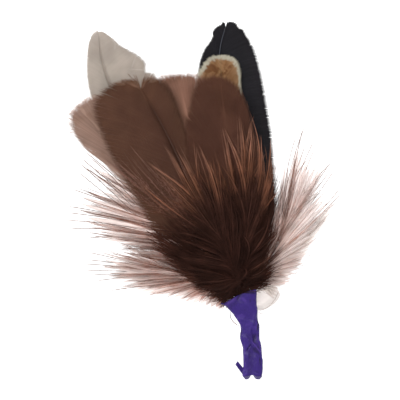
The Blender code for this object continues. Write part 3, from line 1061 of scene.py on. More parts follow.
@dataclass
class LooseFeather(Feather):
    """A loose-barbed feather: a shaft, barbs gathered in pointed locks, and the down on them.

    Attributes:
        lie: What it rests on.
        rachis: The shaft, with levels over what it rests on.
        left, right: The tips of the main locks on each side, from the first to the last.
        tip: The tip of the lock at the shaft's end.
        barbs: The number of barbs on the left and on the right.
        down: The number of down hairs on a barb.
        gather: How far barbs are drawn into their locks, on the left and on the right.
        seed: The start of its random numbers.
        barb_half: A barb's half width at its root and at its tip.
        down_length, down_half: A down hair's usual length, and its half width.
        locks: The number of locks to each point of left or right.
        lift: The least and the greatest that a lock's middle stands up.
        bow, curl: How far locks bend sideways, and curl at their tips as a share of that.
        scatter: How far the barbs' tips lie from their places.
        free_share: The share of barbs that hardly keep to a lock.
        down_from, down_to: The part of a barb that carries down.
        root_share: The part of the shaft that the barbs grow on.
        short_share, short_reach: The share of short locks, and their least and greatest length.
        crowd: Under 1, the barbs crowd toward the shaft's end, on the left and on the right.
        collar, collar_barbs: The tips of the short barbs on the bare quill, and their number.
        collar_pale, collar_thick: How far they pale, and how much thicker they are.
        low_pale: How far the lowest locks pale, as a share of the highest.
        stray_bow: How much of a lock's bend and curl a barb has of its own.
        stray_reach: How far strays run on past their ends.
        taper: The most that a barb is shorter than its lock.
        web_half, web_span: A web's half width on each side, and the part of its lock that it fills.
        web_point: The two powers that shape a web's tip.
        sink: What is left of the level of the left locks where they hang past the stack.
        film_leaves, film_span: The film's leaves on each side, and the part of the locks it underlies.
        flaps: Loose sheets of down: each one's start, middle, end and half width.
        spread: The least and the greatest angle of down to its barb.
        strays: Single barbs that have come away: each one's start, middle and end.
        stations: The number of points on a barb.
    """

    lie: Lie
    rachis: Chain
    left: Chain
    right: Chain
    tip: Point
    barbs: tuple[int, int]
    down: int
    gather: tuple[float, float]
    seed: int
    barb_half: tuple[float, float] = (0.040, 0.018)
    down_length: float = 1.5
    down_half: float = 0.030
    locks: int = 4
    lift: tuple[float, float] = (0.2, 1.6)
    bow: float = 0.8
    scatter: float = 0.8
    free_share: float = 0.15
    down_from: float = 0.04
    down_to: float = 0.92
    root_share: float = 0.4
    short_share: float = 0.35
    short_reach: tuple[float, float] = (0.7, 0.9)
    crowd: tuple[float, float] = (1.0, 1.0)
    collar: Chain = ()
    collar_barbs: int = 0
    collar_pale: float = 0.45
    collar_thick: float = 1.0
    low_pale: float = 0.5
    stray_bow: float = 0.3
    stray_reach: float = 0.0
    curl: float = 0.55
    taper: float = 0.0
    web_half: tuple[float, float] = (1.2, 1.2)
    web_span: tuple[float, float] = (0.1, 0.92)
    web_point: tuple[float, float] = (2.2, 0.9)
    sink: float = 1.0
    film_leaves: tuple[int, int] = (0, 0)
    film_span: tuple[float, float] = (0.2, 0.85)
    flaps: tuple[tuple[Point, Point, Point, float], ...] = ()
    spread: tuple[float, float] = (22.0, 62.0)
    strays: tuple[tuple[Point, Point, Point], ...] = ()
    stations: int = 10

    def lifted(self, points: Chain) -> np.ndarray:
        """Bring points with levels up to the crown of the stack.

        Args:
            points: Points in space, with levels over the stack.

        Returns:
            The points, lifted unless the feather lies on the table.
        """
        points = np.array(points, dtype=float)
        if self.lie is Lie.STACK:
            points[:, 2] += crown(points[:, 0], points[:, 1])
        return points

    def root_at(self, chain: np.ndarray, numbers: np.ndarray, count: int) -> np.ndarray:
        """Where barbs leave the shaft.

        Args:
            chain: The shaft's points.
            numbers: The barbs' places, in locks from the first.
            count: The number of locks on a side.

        Returns:
            The roots.
        """
        side_share = self.root_share * (numbers + 0.5) / count
        end_share = self.root_share + 0.1 * (numbers - count + 0.5) / 0.5
        return smooth_chain(chain, np.clip(np.where(numbers < count - 0.5, side_share, end_share), 0, 1))

    def lock_tips(self, side: Side) -> tuple[np.ndarray, int]:
        """Bring up the tips on one side and the one at the shaft's end, and count the side's own."""
        tips = self.lifted(self.left if side is Side.LEFT else self.right)
        return np.vstack([tips, self.lifted((self.tip,))]), len(tips)

    def row(self, side: Side, rng: np.random.Generator) -> Locks:
        """Lay out the barbs on one side, gathered in locks.

        Args:
            side: The side of the shaft.
            rng: The feather's own random numbers.

        Returns:
            The locks of that side.
        """
        pick = 0 if side is Side.LEFT else 1
        barbs, gather, crowd = self.barbs[pick], self.gather[pick], self.crowd[pick]
        tips, count = self.lock_tips(side)
        chain = self.lifted(self.rachis)
        c = np.sort((count + 0.5) * rng.random(barbs) ** crowd - 0.5)
        clumps = self.locks * (count + 1)
        centres = -0.5 + (np.arange(clumps) + rng.uniform(0.2, 0.8, clumps)) / clumps * (count + 0.5)
        home = np.abs(c[:, None] - centres[None, :]).argmin(axis=1)

        numbers = np.concatenate([c, centres])
        roots = self.root_at(chain, numbers, count)
        ends = glide(tips, numbers)
        length = 1 - 0.08 * (0.5 - 0.5 * np.cos(2 * np.pi * numbers)) - 0.2 * ease(-numbers, 0.0, 0.5)
        ends = roots + length[:, None] * (ends - roots)
        reach = rng.uniform(0.94, 1.12, clumps)
        short = rng.random(clumps) < self.short_share
        reach[short] = rng.uniform(*self.short_reach, short.sum())
        stretch = np.concatenate([reach[home] * rng.normal(0.97, 0.05, barbs), reach])
        ends = roots + stretch[:, None] * (ends - roots)
        roots[:barbs] += rng.normal(0.0, 0.25, (barbs, 3)) * (1, 1, 0.8)
        ends[:barbs] += rng.normal(0.0, self.scatter, (barbs, 3)) * (1, 1, 0.4)

        tangents = unit(np.gradient(smooth_chain(chain, np.linspace(0, 1, 50)), axis=0))
        place = np.clip(((numbers + 0.5) / (count + 0.5)) * 49 * self.root_share, 0, 49).astype(int)
        lock_lift = rng.uniform(*self.lift, clumps)
        lift = np.concatenate([lock_lift[home] + rng.normal(0.0, 0.35, barbs), lock_lift])
        arcs = barb_arcs(roots, ends, tangents[place], lift, self.stations)
        own, shared = arcs[:barbs], arcs[barbs:][home]

        v = np.linspace(0.0, 1.0, self.stations)[None, :]
        held = np.clip(rng.normal(gather, 0.1, barbs), 0.0, 0.97)
        held[rng.random(barbs) < self.free_share] *= 0.2
        lines = own + held[:, None, None] * (v**1.3)[..., None] * (shared - own)
        sideways = unit(np.cross(UP, unit(ends - roots)))[:, None, :]
        lock_bow = 0.75 * self.bow * rng.normal(0.0, 1.0, (clumps, 1))
        lock_curl = self.curl * self.bow * rng.normal(0.0, 1.0, (clumps, 1))
        bow = lock_bow[home] + self.stray_bow * self.bow * rng.normal(0.0, 1.0, (barbs, 1))
        curl = lock_curl[home] + self.stray_bow * self.bow * rng.normal(0.0, 1.0, (barbs, 1))
        lines = lines + (np.sin(np.pi * v) * bow + curl * v**2.5)[..., None] * sideways[:barbs]
        lock_bend = np.sin(np.pi * v) * lock_bow + lock_curl * v**2.5
        middles = arcs[barbs:] + lock_bend[..., None] * sideways[barbs:]
        lines[..., 2] = np.maximum(lines[..., 2], LOWEST_BARB)
        middles[..., 2] = np.maximum(middles[..., 2], LOWEST_BARB)
        if side is Side.LEFT:
            sunk = 1 - (1 - self.sink) * ease(v, 0.12, 0.35)
            lines[..., 2], middles[..., 2] = lines[..., 2] * sunk, middles[..., 2] * sunk
        lock_tone = rng.random(clumps)
        up = self.low_pale + (1 - self.low_pale) * ease(centres, 1.2, 4.2)
        pale = np.minimum(reach, 1.0) ** 2 * up
        tone = 0.5 * rng.random(barbs) + 0.5 * lock_tone[home]
        kept = 1 - self.taper * rng.random(barbs) ** 0.8
        return Locks(cut_short(lines, kept), tone, pale[home] * kept, middles, lock_tone, pale)

    def collar_row(self, rng: np.random.Generator) -> Locks:
        """Lay out the short barbs that stand on the quill between the wrap and the first locks.

        Args:
            rng: The feather's own random numbers.

        Returns:
            The barbs of the collar, which has no locks.
        """
        barbs = self.collar_barbs
        chain = self.lifted(self.rachis)
        mouth = quill_line(self.quill_slot, SHORT_QUILL_Y, chain[0])[-2]
        share = rng.uniform(0.15, 1.0, barbs)[:, None]
        roots = mouth + share * (chain[0] - mouth) + rng.normal(0.0, 0.8, (barbs, 3)) * (1, 0.6, 0.4)
        numbers = rng.uniform(0.0, len(self.collar) - 1, barbs)
        ends = glide(self.lifted(self.collar), numbers)
        ends = roots + (1.05 - 0.45 * rng.random(barbs) ** 1.6)[:, None] * (ends - roots)
        ends += rng.normal(0.0, 1.5, (barbs, 3)) * (1, 1, 0.5)
        forward = np.broadcast_to(unit(chain[0] - mouth), ends.shape)
        lines = barb_arcs(roots, ends, forward, rng.uniform(0.0, 2.0, barbs), self.stations)
        lines[..., 2] = np.maximum(lines[..., 2], LOWEST_BARB)
        pale = np.full(barbs, self.collar_pale)
        return Locks(lines, rng.random(barbs), pale, lines[:0], np.empty(0), np.empty(0))

    def stray_locks(self) -> Locks:
        """Lay out the stray barbs.

        Returns:
            The strays, which have no locks.
        """
        v = np.linspace(0.0, 1.0, self.stations)[None, :, None]
        start, middle, end = (np.array([stray[k] for stray in self.strays])[:, None] for k in range(3))
        end = end + self.stray_reach * (end - middle) * (1, 1, 0)
        lines = sweep(start, middle, end, v)
        count = len(lines)
        return Locks(lines, np.full(count, 0.5), np.full(count, 0.3), lines[:0], np.empty(0), np.empty(0))

    def grow_down(self, strands: Strands, lines: np.ndarray, tone: np.ndarray, pale: np.ndarray,
                  strip: np.ndarray, rng: np.random.Generator) -> None:
        """Grow down along barbs.

        Args:
            strands: The strands to add to.
            lines: The barbs' lines.
            tone: A tone for each barb.
            pale: How far each barb pales to its tip.
            strip: The middle of each barb's strip on the map.
            rng: The feather's own random numbers.
        """
        barbs, stations = lines.shape[:2]
        which = np.repeat(np.arange(barbs), self.down)
        count = len(which)
        v = self.down_from + (self.down_to - self.down_from) * rng.random(count)
        at = v * (stations - 1)
        start = read_lines(lines, which, at)
        low = np.minimum(at.astype(int), stations - 2)
        along = unit(lines[which, low + 1] - lines[which, low])
        side = unit(np.cross(UP, along))
        angle = np.radians(rng.uniform(*self.spread, count))[:, None]
        roll = rng.normal(0.0, 0.55, count) + np.pi * (rng.random(count) < 0.5)
        out = np.cos(roll)[:, None] * side + np.sin(roll)[:, None] * UP
        heading = np.cos(angle) * along + np.sin(angle) * out
        length = self.down_length * np.minimum(0.5 + 1.2 * v, 1.5 - 0.9 * v) * rng.uniform(0.5, 1.25, count)
        end = start + length[:, None] * heading
        end[:, 2] = np.maximum(end[:, 2], LOWEST_DOWN)
        half = np.full((count, 2), self.down_half)
        paling = np.stack([v, v], axis=1) * pale[which][:, None]
        height = DOWN_FOOT + DOWN_TALL * np.stack([v, v + 0.02], axis=1)
        strands.add(np.stack([start, end], axis=1), half, half * 1.6, strip[which], height,
                    {"along": paling, "tone": tone[which][:, None], "down": ALL, "web": NONE})

    def film(self, side: Side, leaves: int, rng: np.random.Generator) -> tuple[np.ndarray, np.ndarray]:
        """Lay an even, thin film of the finest down under the locks, as leaves side by side.

        Args:
            side: The side of the shaft.
            leaves: The number of leaves.
            rng: The feather's own random numbers.

        Returns:
            The leaves' middle lines by leaf and station, and their half widths there.
        """
        tips, count = self.lock_tips(side)
        numbers = np.linspace(-0.5, count, leaves)
        chain = self.lifted(self.rachis)
        roots = self.root_at(chain, numbers, count)
        ends = glide(tips, numbers)
        reach = np.convolve(rng.uniform(0.80, 1.12, leaves + 2), (0.25, 0.5, 0.25), "valid")
        forward = np.broadcast_to(unit(chain[1] - chain[0]), ends.shape)
        full = barb_arcs(roots, ends, forward, np.full(leaves, 0.4), FILM_POINTS)
        start, end = self.film_span
        last = FILM_POINTS - 1
        at = np.clip(start + (end * reach[:, None] - start) * LEAF, 0, 1) * last
        lines = read_lines(full, np.arange(leaves)[:, None], at)
        spacing = crossing(lines)
        sunk = 1 - (1 - (self.sink if side is Side.LEFT else 1.0)) * ease(at / last, 0.12, 0.35)
        lines[..., 2] = np.maximum(0.85 * lines[..., 2] * sunk, LOWEST_FILM)
        point = (1 - LEAF**5) * (0.3 + 0.7 * ease(LEAF, 0.0, 0.1)) + 0.01
        return lines, np.clip(0.68 * spacing, 0.1, 2.5) * point[None, :]

    def add_leaves(self, strands: Strands, lines: np.ndarray, half: np.ndarray, rise: float,
                   strip: np.ndarray, along: np.ndarray, tone: np.ndarray) -> None:
        """Add thin leaves of the finest down.

        Args:
            strands: The strands to add to.
            lines: The leaves' middle lines.
            half: Their half widths at the stations.
            rise: Their thickness.
            strip: The middle of each leaf's strip on the map.
            along: How far each station has paled.
            tone: How light each leaf is.
        """
        height = np.broadcast_to(MAP_FOOT + WEB_TALL * LEAF, half.shape)
        strands.add(lines, half, np.full(half.shape, rise), strip, height,
                    {"along": along, "tone": tone, "down": ALL, "web": ALL})

    def spin_webs(self, strands: Strands, locks: list[Locks], strip: np.ndarray) -> None:
        """Lay the web of fine down that fills each lock, as a thin leaf along the lock's middle.

        Args:
            strands: The strands to add to.
            locks: The locks of the feather.
            strip: The middle of each web's strip on the map.
        """
        middles = np.concatenate([row.middles for row in locks])
        tone = np.concatenate([row.middle_tone for row in locks])
        pale = np.concatenate([row.middle_pale for row in locks])
        start, end = self.web_span
        places = start + (end - start) * LEAF
        at = places[None, :] * (self.stations - 1)
        lines = read_lines(middles, np.arange(len(middles))[:, None], at)
        lines[..., 2] = np.maximum(lines[..., 2], LOWEST_WEB)
        point = (1 - LEAF**self.web_point[0]) ** self.web_point[1]
        leaf = (0.25 + 0.75 * ease(LEAF, 0.0, 0.35)) * point + 0.02
        widest = np.concatenate([np.full(len(row.middles), side) for row, side in zip(locks, self.web_half)])
        half = widest[:, None] * leaf[None, :] * (0.75 + 0.5 * tone[:, None])
        along = places[None, :] * pale[:, None]
        kept = widest > 0
        if kept.any():
            self.add_leaves(strands, lines[kept], half[kept], 0.05, strip[kept], along[kept],
                            tone[kept, None])

    def lay_films(self, strands: Strands, strip: np.ndarray, rng: np.random.Generator) -> None:
        """Lay the film of each side that has one.

        Args:
            strands: The strands to add to.
            strip: The middle of each leaf's strip on the map.
            rng: The feather's own random numbers.
        """
        start, end = self.film_span
        places = start + (end - start) * LEAF
        for side, leaves in zip(Side, self.film_leaves):
            if leaves:
                lines, half = self.film(side, leaves, rng)
                self.add_leaves(strands, lines, half, 0.04, strip[:leaves], places,
                                0.3 + 0.4 * rng.random((leaves, 1)))
                strip = strip[leaves:]

    def lay_flaps(self, strands: Strands, strip: np.ndarray) -> None:
        """Lay the loose sheets of down.

        Args:
            strands: The strands to add to.
            strip: The middle of each sheet's strip on the map.
        """
        start, middle, end = (np.array([flap[k] for flap in self.flaps])[:, None] for k in range(3))
        wide = np.array([flap[3] for flap in self.flaps])[:, None]
        half = wide * np.sqrt(1 - (2 * LEAF - 1) ** 4)[None, :] + 0.02
        self.add_leaves(strands, sweep(start, middle, end, LEAF[None, :, None]), half, 0.05, strip,
                        np.full((1, 1), 0.8), np.full((1, 1), 0.5))

    def barb_locks(self) -> Strands:
        """Gather the barbs and the down of both sides.

        Returns:
            The strands of the feather.
        """
        rng = np.random.default_rng(self.seed)
        rows = [self.row(side, rng) for side in Side]
        if self.collar_barbs:
            rows.append(self.collar_row(rng))
        if self.strays:
            rows.append(self.stray_locks())
        lines = np.concatenate([row.lines for row in rows])
        tone = np.concatenate([row.tone for row in rows])
        pale = np.concatenate([row.pale for row in rows])
        barbs, webs, flaps = len(lines), sum(len(row.middles) for row in rows), len(self.flaps)
        count = barbs + webs + flaps + sum(self.film_leaves)
        strands = Strands(ALL_STRIPS / count)
        strip = FIRST_STRIP + strands.strip_width * (np.arange(count) + 0.5)
        v = np.linspace(0.0, 1.0, self.stations)
        thickness = 0.5 + 1.2 * rng.random(barbs) ** 2
        collar_end = barbs - len(self.strays)
        thickness[collar_end - self.collar_barbs:collar_end] *= self.collar_thick
        thickness[collar_end:] = STRAY_THICKNESS
        half = np.interp(v, (0.0, 1.0), self.barb_half)[None, :] * thickness[:, None]
        height = np.broadcast_to(MAP_FOOT + BARB_TALL * v, half.shape)
        strands.add(lines, half, 1.5 * half, strip[:barbs], height,
                    {"along": v * pale[:, None], "tone": tone[:, None], "down": NONE, "web": NONE})
        self.grow_down(strands, lines, tone, pale, strip, rng)
        web_strip, flap_strip, film_strip = np.split(strip[barbs:], [webs, webs + flaps])
        self.spin_webs(strands, rows, web_strip)
        self.lay_films(strands, film_strip, rng)
        if self.flaps:
            self.lay_flaps(strands, flap_strip)
        return strands

    def dress(self) -> None:
        """Build the feather in place of its CAD solid."""
        strands = self.barb_locks()
        rachis = smooth_chain(self.lifted(self.rachis), np.linspace(0.0, self.root_share + 0.1, 30))
        self.assemble(strands, SHORT_QUILL_Y, LOOSE_QUILL_RADIUS, rachis,
                      np.linspace(0.30, 0.04, len(rachis)) ** 1.3)


@dataclass
class TapeWrap:
    """Tape wound round the quills, flattened and creased, with its loose end.

    Attributes:
        finish, piece, node: As for a feather. slot: The record's material slot for the tape; it is not used.
        thickness: The wall's thickness.
        squareness: The power of the rounded box that the tube is flattened to.
        around, rows: The number of points round the tube and of cuts along it.
        shaded_folds: Shade painted where the tape is folded, which also sinks it, in plan: x, y, turn, half
            length, half width and strength.
        highlights: Painted highlights, which also raise the tape, given in the same way.
        humps: Creases: their place across, lean, distance below the mouth, height and width.
        lap_pitch: The distance from one lap of tape to the next.
        lap_step: The height of a lap's edge.
        mouth_bulge: How far the mouth's middle stands up the bunch.
        notch_x, notch_depth: The place and the depth of the notch in the foot.
        tail_size: The loose end's length, width and thickness.
        tail_centre, tail_turn: Its centre, and its turn from the x axis in degrees.
    """

    finish: TapeFinish
    piece: str = "wound_tape"
    node: str = "stem_wrap"
    slot: str = "purple_tape"
    thickness: float = 0.40
    squareness: float = 4.0
    around: int = 96
    rows: int = 150
    shaded_folds: tuple[Mark, ...] = (
        (22.7, -53.2, 1.45, 2.6, 0.42, 1.0), (21.4, -59.2, 1.25, 2.2, 0.95, 0.8),
        (18.6, -40.1, 0.12, 3.6, 0.42, 0.9), (14.6, -41.9, 0.85, 1.6, 0.40, 0.8),
        (18.6, -63.2, 0.95, 2.2, 0.30, 0.8), (19.6, -69.5, 1.48, 7.0, 1.70, 0.38),
        (23.6, -69.0, 1.65, 2.0, 0.30, 0.7), (15.3, -57.0, 1.45, 2.0, 0.35, 0.6),
        (17.4, -68.8, 1.3, 1.2, 0.30, 0.6))
    highlights: tuple[Mark, ...] = (
        (18.6, -38.9, 0.10, 3.8, 0.22, 0.9), (11.2, -43.7, 0.55, 2.6, 0.55, 0.75),
        (21.6, -62.6, 2.2, 3.4, 0.32, 0.7), (23.2, -62.0, 1.75, 5.5, 0.40, 0.45),
        (17.1, -67.5, 1.57, 7.5, 0.42, 0.4), (21.9, -53.8, 1.35, 2.4, 0.40, 0.45),
        (17.0, -75.0, 0.6, 1.6, 0.60, 0.5), (14.4, -73.6, 2.2, 1.8, 0.50, 0.5))
    humps: tuple[tuple[float, float, float, float, float], ...] = (
        (0.55, -0.10, 13.0, 0.55, 1.1), (0.35, 0.06, 19.0, -0.50, 0.9), (0.10, 0.12, 24.0, 0.45, 1.3),
        (-0.45, -0.05, 28.0, 0.30, 1.0), (0.70, 0.10, 30.0, -0.35, 0.8), (-0.20, 0.10, 8.0, 0.25, 0.9))
    lap_pitch: float = 7.5
    lap_step: float = 0.34
    mouth_bulge: float = 1.0
    notch_x: float = 20.2
    notch_depth: float = 2.1
    tail_size: Point = (6.4, 1.9, 0.45)
    tail_centre: Point = (15.4, -72.3, 2.1)
    tail_turn: float = 127.0

    def creases(self, turn: np.ndarray, down: np.ndarray) -> np.ndarray:
        """How far laps and creases raise the tape.

        Args:
            turn: The angle round the tube, from 0 to 2 pi.
            down: The distance below the mouth in millimetres.

        Returns:
            The rise at each point in millimetres.
        """
        phase = (down + self.lap_pitch * turn / (2 * np.pi)) / self.lap_pitch
        lap = phase - np.floor(phase)
        rise = self.lap_step * (ease(lap, 0.0, 0.045) - ease(lap, 0.2, 1.0))
        across = np.cos(turn)
        for place, lean, level, height, wide in self.humps:
            ridge = np.exp(-((across - place - lean * (down - level)) / 0.13) ** 2)
            rise = rise + height * ridge * np.exp(-((down - level) / (4.5 * wide)) ** 2)
        ripple = 0.10 * np.sin(3.1 * turn + 0.9 * down) * np.sin(0.5 * down + 2 * turn)
        return rise + ripple

    def shape_tube(self, mesh: bpy.types.Mesh) -> None:
        """Press a round tube into the flattened, creased one.

        Args:
            mesh: The tube's mesh, along Z from -1 at the foot to 1 at the mouth.
        """
        points = np.empty(3 * len(mesh.vertices))
        mesh.vertices.foreach_get("co", points)
        points = points.reshape(-1, 3)
        turn = np.mod(np.arctan2(-points[:, 1], points[:, 0]), 2 * np.pi)
        share = np.clip((1 - points[:, 2]) / 2, 0.0, 1.0)
        numbers = share * (len(WRAP_STATIONS) - 1)
        left = glide(np.array([s[0] for s in WRAP_STATIONS]), numbers)
        right = glide(np.array([s[1] for s in WRAP_STATIONS]), numbers)
        height = glide(np.array([[s[2]] for s in WRAP_STATIONS]), numbers)[:, 0]
        middle, half = (left + right) / 2, (right - left) / 2
        across = np.cos(turn)
        rise = np.sign(np.sin(turn)) * (1 - np.abs(across) ** self.squareness) ** (1 / self.squareness)
        plan = middle + across[:, None] * half
        down = -38.0 - plan[:, 1]
        lump = self.creases(turn, down) * ease(1 - share, 0.0, 0.05)
        # Paint shade where the tape is folded, and highlights, on its upper side only, as point values that
        # the finish reads; the shaded places also sink the tape and the highlighted ones raise it.
        for name, marks in (("painted_shade", self.shaded_folds), ("painted_highlight", self.highlights)):
            mark = np.zeros(len(turn))
            for x, y, tilt, long, wide, strength in marks:
                away = plan - (x, y)
                ahead = away[:, 0] * np.cos(tilt) + away[:, 1] * np.sin(tilt)
                aside = away[:, 1] * np.cos(tilt) - away[:, 0] * np.sin(tilt)
                mark = np.maximum(mark, strength * np.exp(-(ahead / long) ** 4 - (aside / wide) ** 2))
            mark *= np.sin(turn) > 0
            mesh.attributes.new(name, "FLOAT", "POINT").data.foreach_set("value", mark)
            lump = lump + (0.45 if name == "painted_highlight" else -0.7) * mark * (np.abs(across) < 0.97)
        squash = 1 - 0.72 * ease(share, 0.9, 1.0)
        level = height / 2 + rise * height / 2 * squash
        near_mouth = ease(1 - share, 0.94, 1.0)
        plan[:, 1] += self.mouth_bulge * near_mouth * (1 - across**2)
        plan += (near_mouth * ease(-across, 0.9, 1.0))[:, None] * (-1.1, 0.2)
        near_foot = ease(share, 0.88, 1.0)
        plan[:, 1] += near_foot * self.notch_depth * np.exp(-((plan[:, 0] - self.notch_x) / 1.1) ** 2)
        out = np.column_stack([np.cos(turn), np.zeros(len(turn)), np.sin(turn)])
        placed = np.column_stack([plan, level]) + out * lump[:, None] * (0.35 + 0.65 * np.abs(rise))[:, None]
        placed[:, 2] = np.maximum(placed[:, 2], LOWEST_TAPE)
        mesh.vertices.foreach_set("co", (placed * MM).ravel())
        mesh.update()

    def build_tube(self) -> bpy.types.Object:
        """Model the tube from a cylinder: cut into rows, opened at its ends, pressed and walled.

        Returns:
            The tube.
        """
        deselect()
        bpy.ops.mesh.primitive_cylinder_add(vertices=self.around, radius=1.0, depth=2.0)
        tube = bpy.context.object
        tube.name = self.piece
        mesh = tube.data
        clear_picks("FACE")
        for face in mesh.polygons:
            face.select = abs(face.center.z) > 0.99
        bpy.ops.object.mode_set(mode="EDIT")
        bpy.ops.mesh.delete(type="FACE")
        clear_picks("EDGE")
        for edge in mesh.edges:
            ends = [mesh.vertices[k].co.z for k in edge.vertices]
            edge.select = abs(ends[0] - ends[1]) > 1.0
        bpy.ops.object.mode_set(mode="EDIT")
        bpy.ops.mesh.subdivide(number_cuts=self.rows)
        bpy.ops.object.mode_set(mode="OBJECT")
        self.shape_tube(mesh)
        wall = tube.modifiers.new("wall", "SOLIDIFY")
        wall.thickness = self.thickness * MM
        wall.offset = -1.0
        bpy.ops.object.modifier_apply(modifier=wall.name)
        bpy.ops.object.shade_smooth_by_angle(angle=np.radians(50))
        return tube

    def build_tail(self) -> bpy.types.Object:
        """Model the loose end from a block: cut up, curled, creased and turned into place.

        Returns:
            The loose end.
        """
        deselect()
        bpy.ops.mesh.primitive_cube_add(size=1.0)
        tail = bpy.context.object
        tail.name = self.piece + "_end"
        bpy.ops.object.mode_set(mode="EDIT")
        bpy.ops.mesh.select_all(action="SELECT")
        bpy.ops.mesh.subdivide(number_cuts=11)
        bpy.ops.object.mode_set(mode="OBJECT")
        mesh = tail.data
        points = np.empty(3 * len(mesh.vertices))
        mesh.vertices.foreach_get("co", points)
        points = points.reshape(-1, 3) * self.tail_size
        u = points[:, 0] / self.tail_size[0]
        points[:, 1] *= 1.0 - 0.18 * u
        points[:, 0] -= 0.35 * points[:, 1] * ease(u, 0.2, 0.5)
        points[:, 2] += 0.8 * ease(u, -0.1, 0.5) + 0.25 * np.abs(points[:, 1])
        turn = np.radians(self.tail_turn)
        spun = np.column_stack([points[:, 0] * np.cos(turn) - points[:, 1] * np.sin(turn),
                                points[:, 0] * np.sin(turn) + points[:, 1] * np.cos(turn), points[:, 2]])
        mesh.vertices.foreach_set("co", ((spun + self.tail_centre) * MM).ravel())
        mesh.update()
        edges = tail.modifiers.new("soft edges", "BEVEL")
        edges.width = 0.12 * MM
        edges.segments = 1
        edges.angle_limit = np.radians(60)
        bpy.ops.object.modifier_apply(modifier=edges.name)
        bpy.ops.object.shade_smooth_by_angle(angle=np.radians(40))
        return tail

    def dress(self) -> None:
        """Build the tape and hand it over in place of its CAD solid."""
        tube, tail = self.build_tube(), self.build_tail()
        material = self.finish.material()
        for part in (tube, tail):
            part.data.materials.clear()
            part.data.materials.append(material)
        piece = join_pieces([tube, tail], self.piece)
        hand_over(piece, self.node)


@dataclass
class Studio:
    """The table, the soft light and the camera over the bunch, in metres.

    Attributes:
        table_finish: The table top's finish.
        view_centre, view_width: The middle of the picture in plan, and its width.
        lens, sensor: The camera's focal length and its sensor's width, in millimetres.
        table_size: The width of the table.
        sky: The strength of the even light from all round.
        key_place, key_size, key_power: The soft light's place, width and power in watts.
    """

    table_finish: TableFinish
    view_centre: tuple[float, float] = (-0.00215, 0.0)
    view_width: float = 0.172
    lens: float = 200.0
    sensor: float = 36.0
    table_size: float = 3.0
    sky: float = 1.1
    key_place: Point = (-0.28, 0.30, 0.62)
    key_size: float = 0.45
    key_power: float = 5.0

    def build_table(self) -> None:
        """Lay the table top."""
        deselect()
        bpy.ops.mesh.primitive_plane_add(size=self.table_size)
        table = bpy.context.object
        table.name = "table_top"
        table.data.materials.append(self.table_finish.material())

    def build_lights(self) -> None:
        """Light the table evenly, with one soft light from the upper left."""
        world = bpy.data.worlds.new("studio")
        world.use_nodes = True
        background = world.node_tree.nodes["Background"]
        background.inputs["Color"].default_value = (1.0, 1.0, 1.0, 1.0)
        background.inputs["Strength"].default_value = self.sky
        bpy.context.scene.world = world
        deselect()
        bpy.ops.object.light_add(type="AREA", location=self.key_place)
        key = bpy.context.object
        key.name = "soft_key"
        key.data.energy = self.key_power
        key.data.size = self.key_size
        away = np.array(self.key_place)
        key.rotation_euler = (0.0, float(np.arctan2(np.hypot(away[0], away[1]), away[2])),
                              float(np.arctan2(away[1], away[0])))
        bpy.context.scene.view_settings.view_transform = "Standard"

    def build_camera(self) -> None:
        """Hang the camera straight above the bunch."""
        deselect()
        height = self.view_width * self.lens / self.sensor
        bpy.ops.object.camera_add(location=(*self.view_centre, height), rotation=(0.0, 0.0, 0.0))
        camera = bpy.context.object
        camera.name = "overhead_camera"
        camera.data.lens = self.lens
        camera.data.sensor_width = self.sensor
        bpy.context.scene.camera = camera

    def build(self) -> None:
        """Build the whole studio."""
        self.build_table()
        self.build_lights()
        self.build_camera()


# The bunch: its finishes, its feathers and their places

WHITE_VANE = VaneFinish(
    "off_white_vane",
    ((0.0, (0.361, 0.306, 0.268)), (0.12, (0.433, 0.38, 0.331)), (1.0, (0.458, 0.398, 0.35))),
    tip=(0.433, 0.38, 0.338), tip_from=0.85, rim=(0.60, 0.55, 0.51), rim_mm=(0.2, 1.0), rim_amount=0.6,
    patch=(0.397, 0.331, 0.28), patch_size_mm=14.0, patch_amount=0.35, through=0.25, tone=0.03)
BLACK_VANE = VaneFinish(
    "black_vane",
    ((0.0, (0.0072, 0.0072, 0.00952)), (0.5, (0.0096, 0.00896, 0.0115)), (1.0, (0.0132, 0.0114, 0.0134))),
    tip=(0.0096, 0.0084, 0.0109), tip_from=0.8, rim=(0.018, 0.0144, 0.014), rim_mm=(0.2, 1.2),
    rim_amount=0.6, patch=(0.012, 0.0108, 0.014), patch_size_mm=9.0, patch_amount=0.4, through=0.05,
    roughness=(0.38, 0.6), tone=0.12)
BARRED_VANE = VaneFinish(
    "cream_tipped_vane",
    ((0.0, (0.30, 0.165, 0.075)), (0.5, (0.225, 0.112, 0.05)), (1.0, (0.33, 0.20, 0.105))),
    tip=(0.34, 0.21, 0.11), tip_from=0.93, rim=(0.385, 0.355, 0.28), rim_mm=(1.9, 3.1), rim_amount=1.0,
    patch=(0.11, 0.0396, 0.0132), patch_size_mm=3.4, patch_amount=0.75, through=0.15, tone=0.10)
FAR_LEFT_VANE = VaneFinish(
    "pale_brown_vane",
    ((0.0, (0.24, 0.145, 0.107)), (0.4, (0.38, 0.245, 0.195)), (1.0, (0.56, 0.40, 0.335))),
    tip=(0.375, 0.248, 0.196), tip_from=0.42, rim=(0.58, 0.43, 0.37), rim_mm=(0.3, 3.5), rim_amount=0.6,
    patch=(0.27, 0.155, 0.105), patch_size_mm=7.0, patch_amount=0.35, through=0.35, tone=0.14)
MIDDLE_VANE = VaneFinish(
    "mid_brown_vane",
    ((0.0, (0.19, 0.095, 0.063)), (0.45, (0.20, 0.102, 0.070)), (1.0, (0.33, 0.175, 0.125))),
    tip=(0.35, 0.185, 0.13), tip_from=0.86, rim=(0.43, 0.26, 0.195), rim_mm=(0.2, 2.2), rim_amount=0.75,
    patch=(0.16, 0.074, 0.045), patch_size_mm=9.0, patch_amount=0.4, tone=0.09)
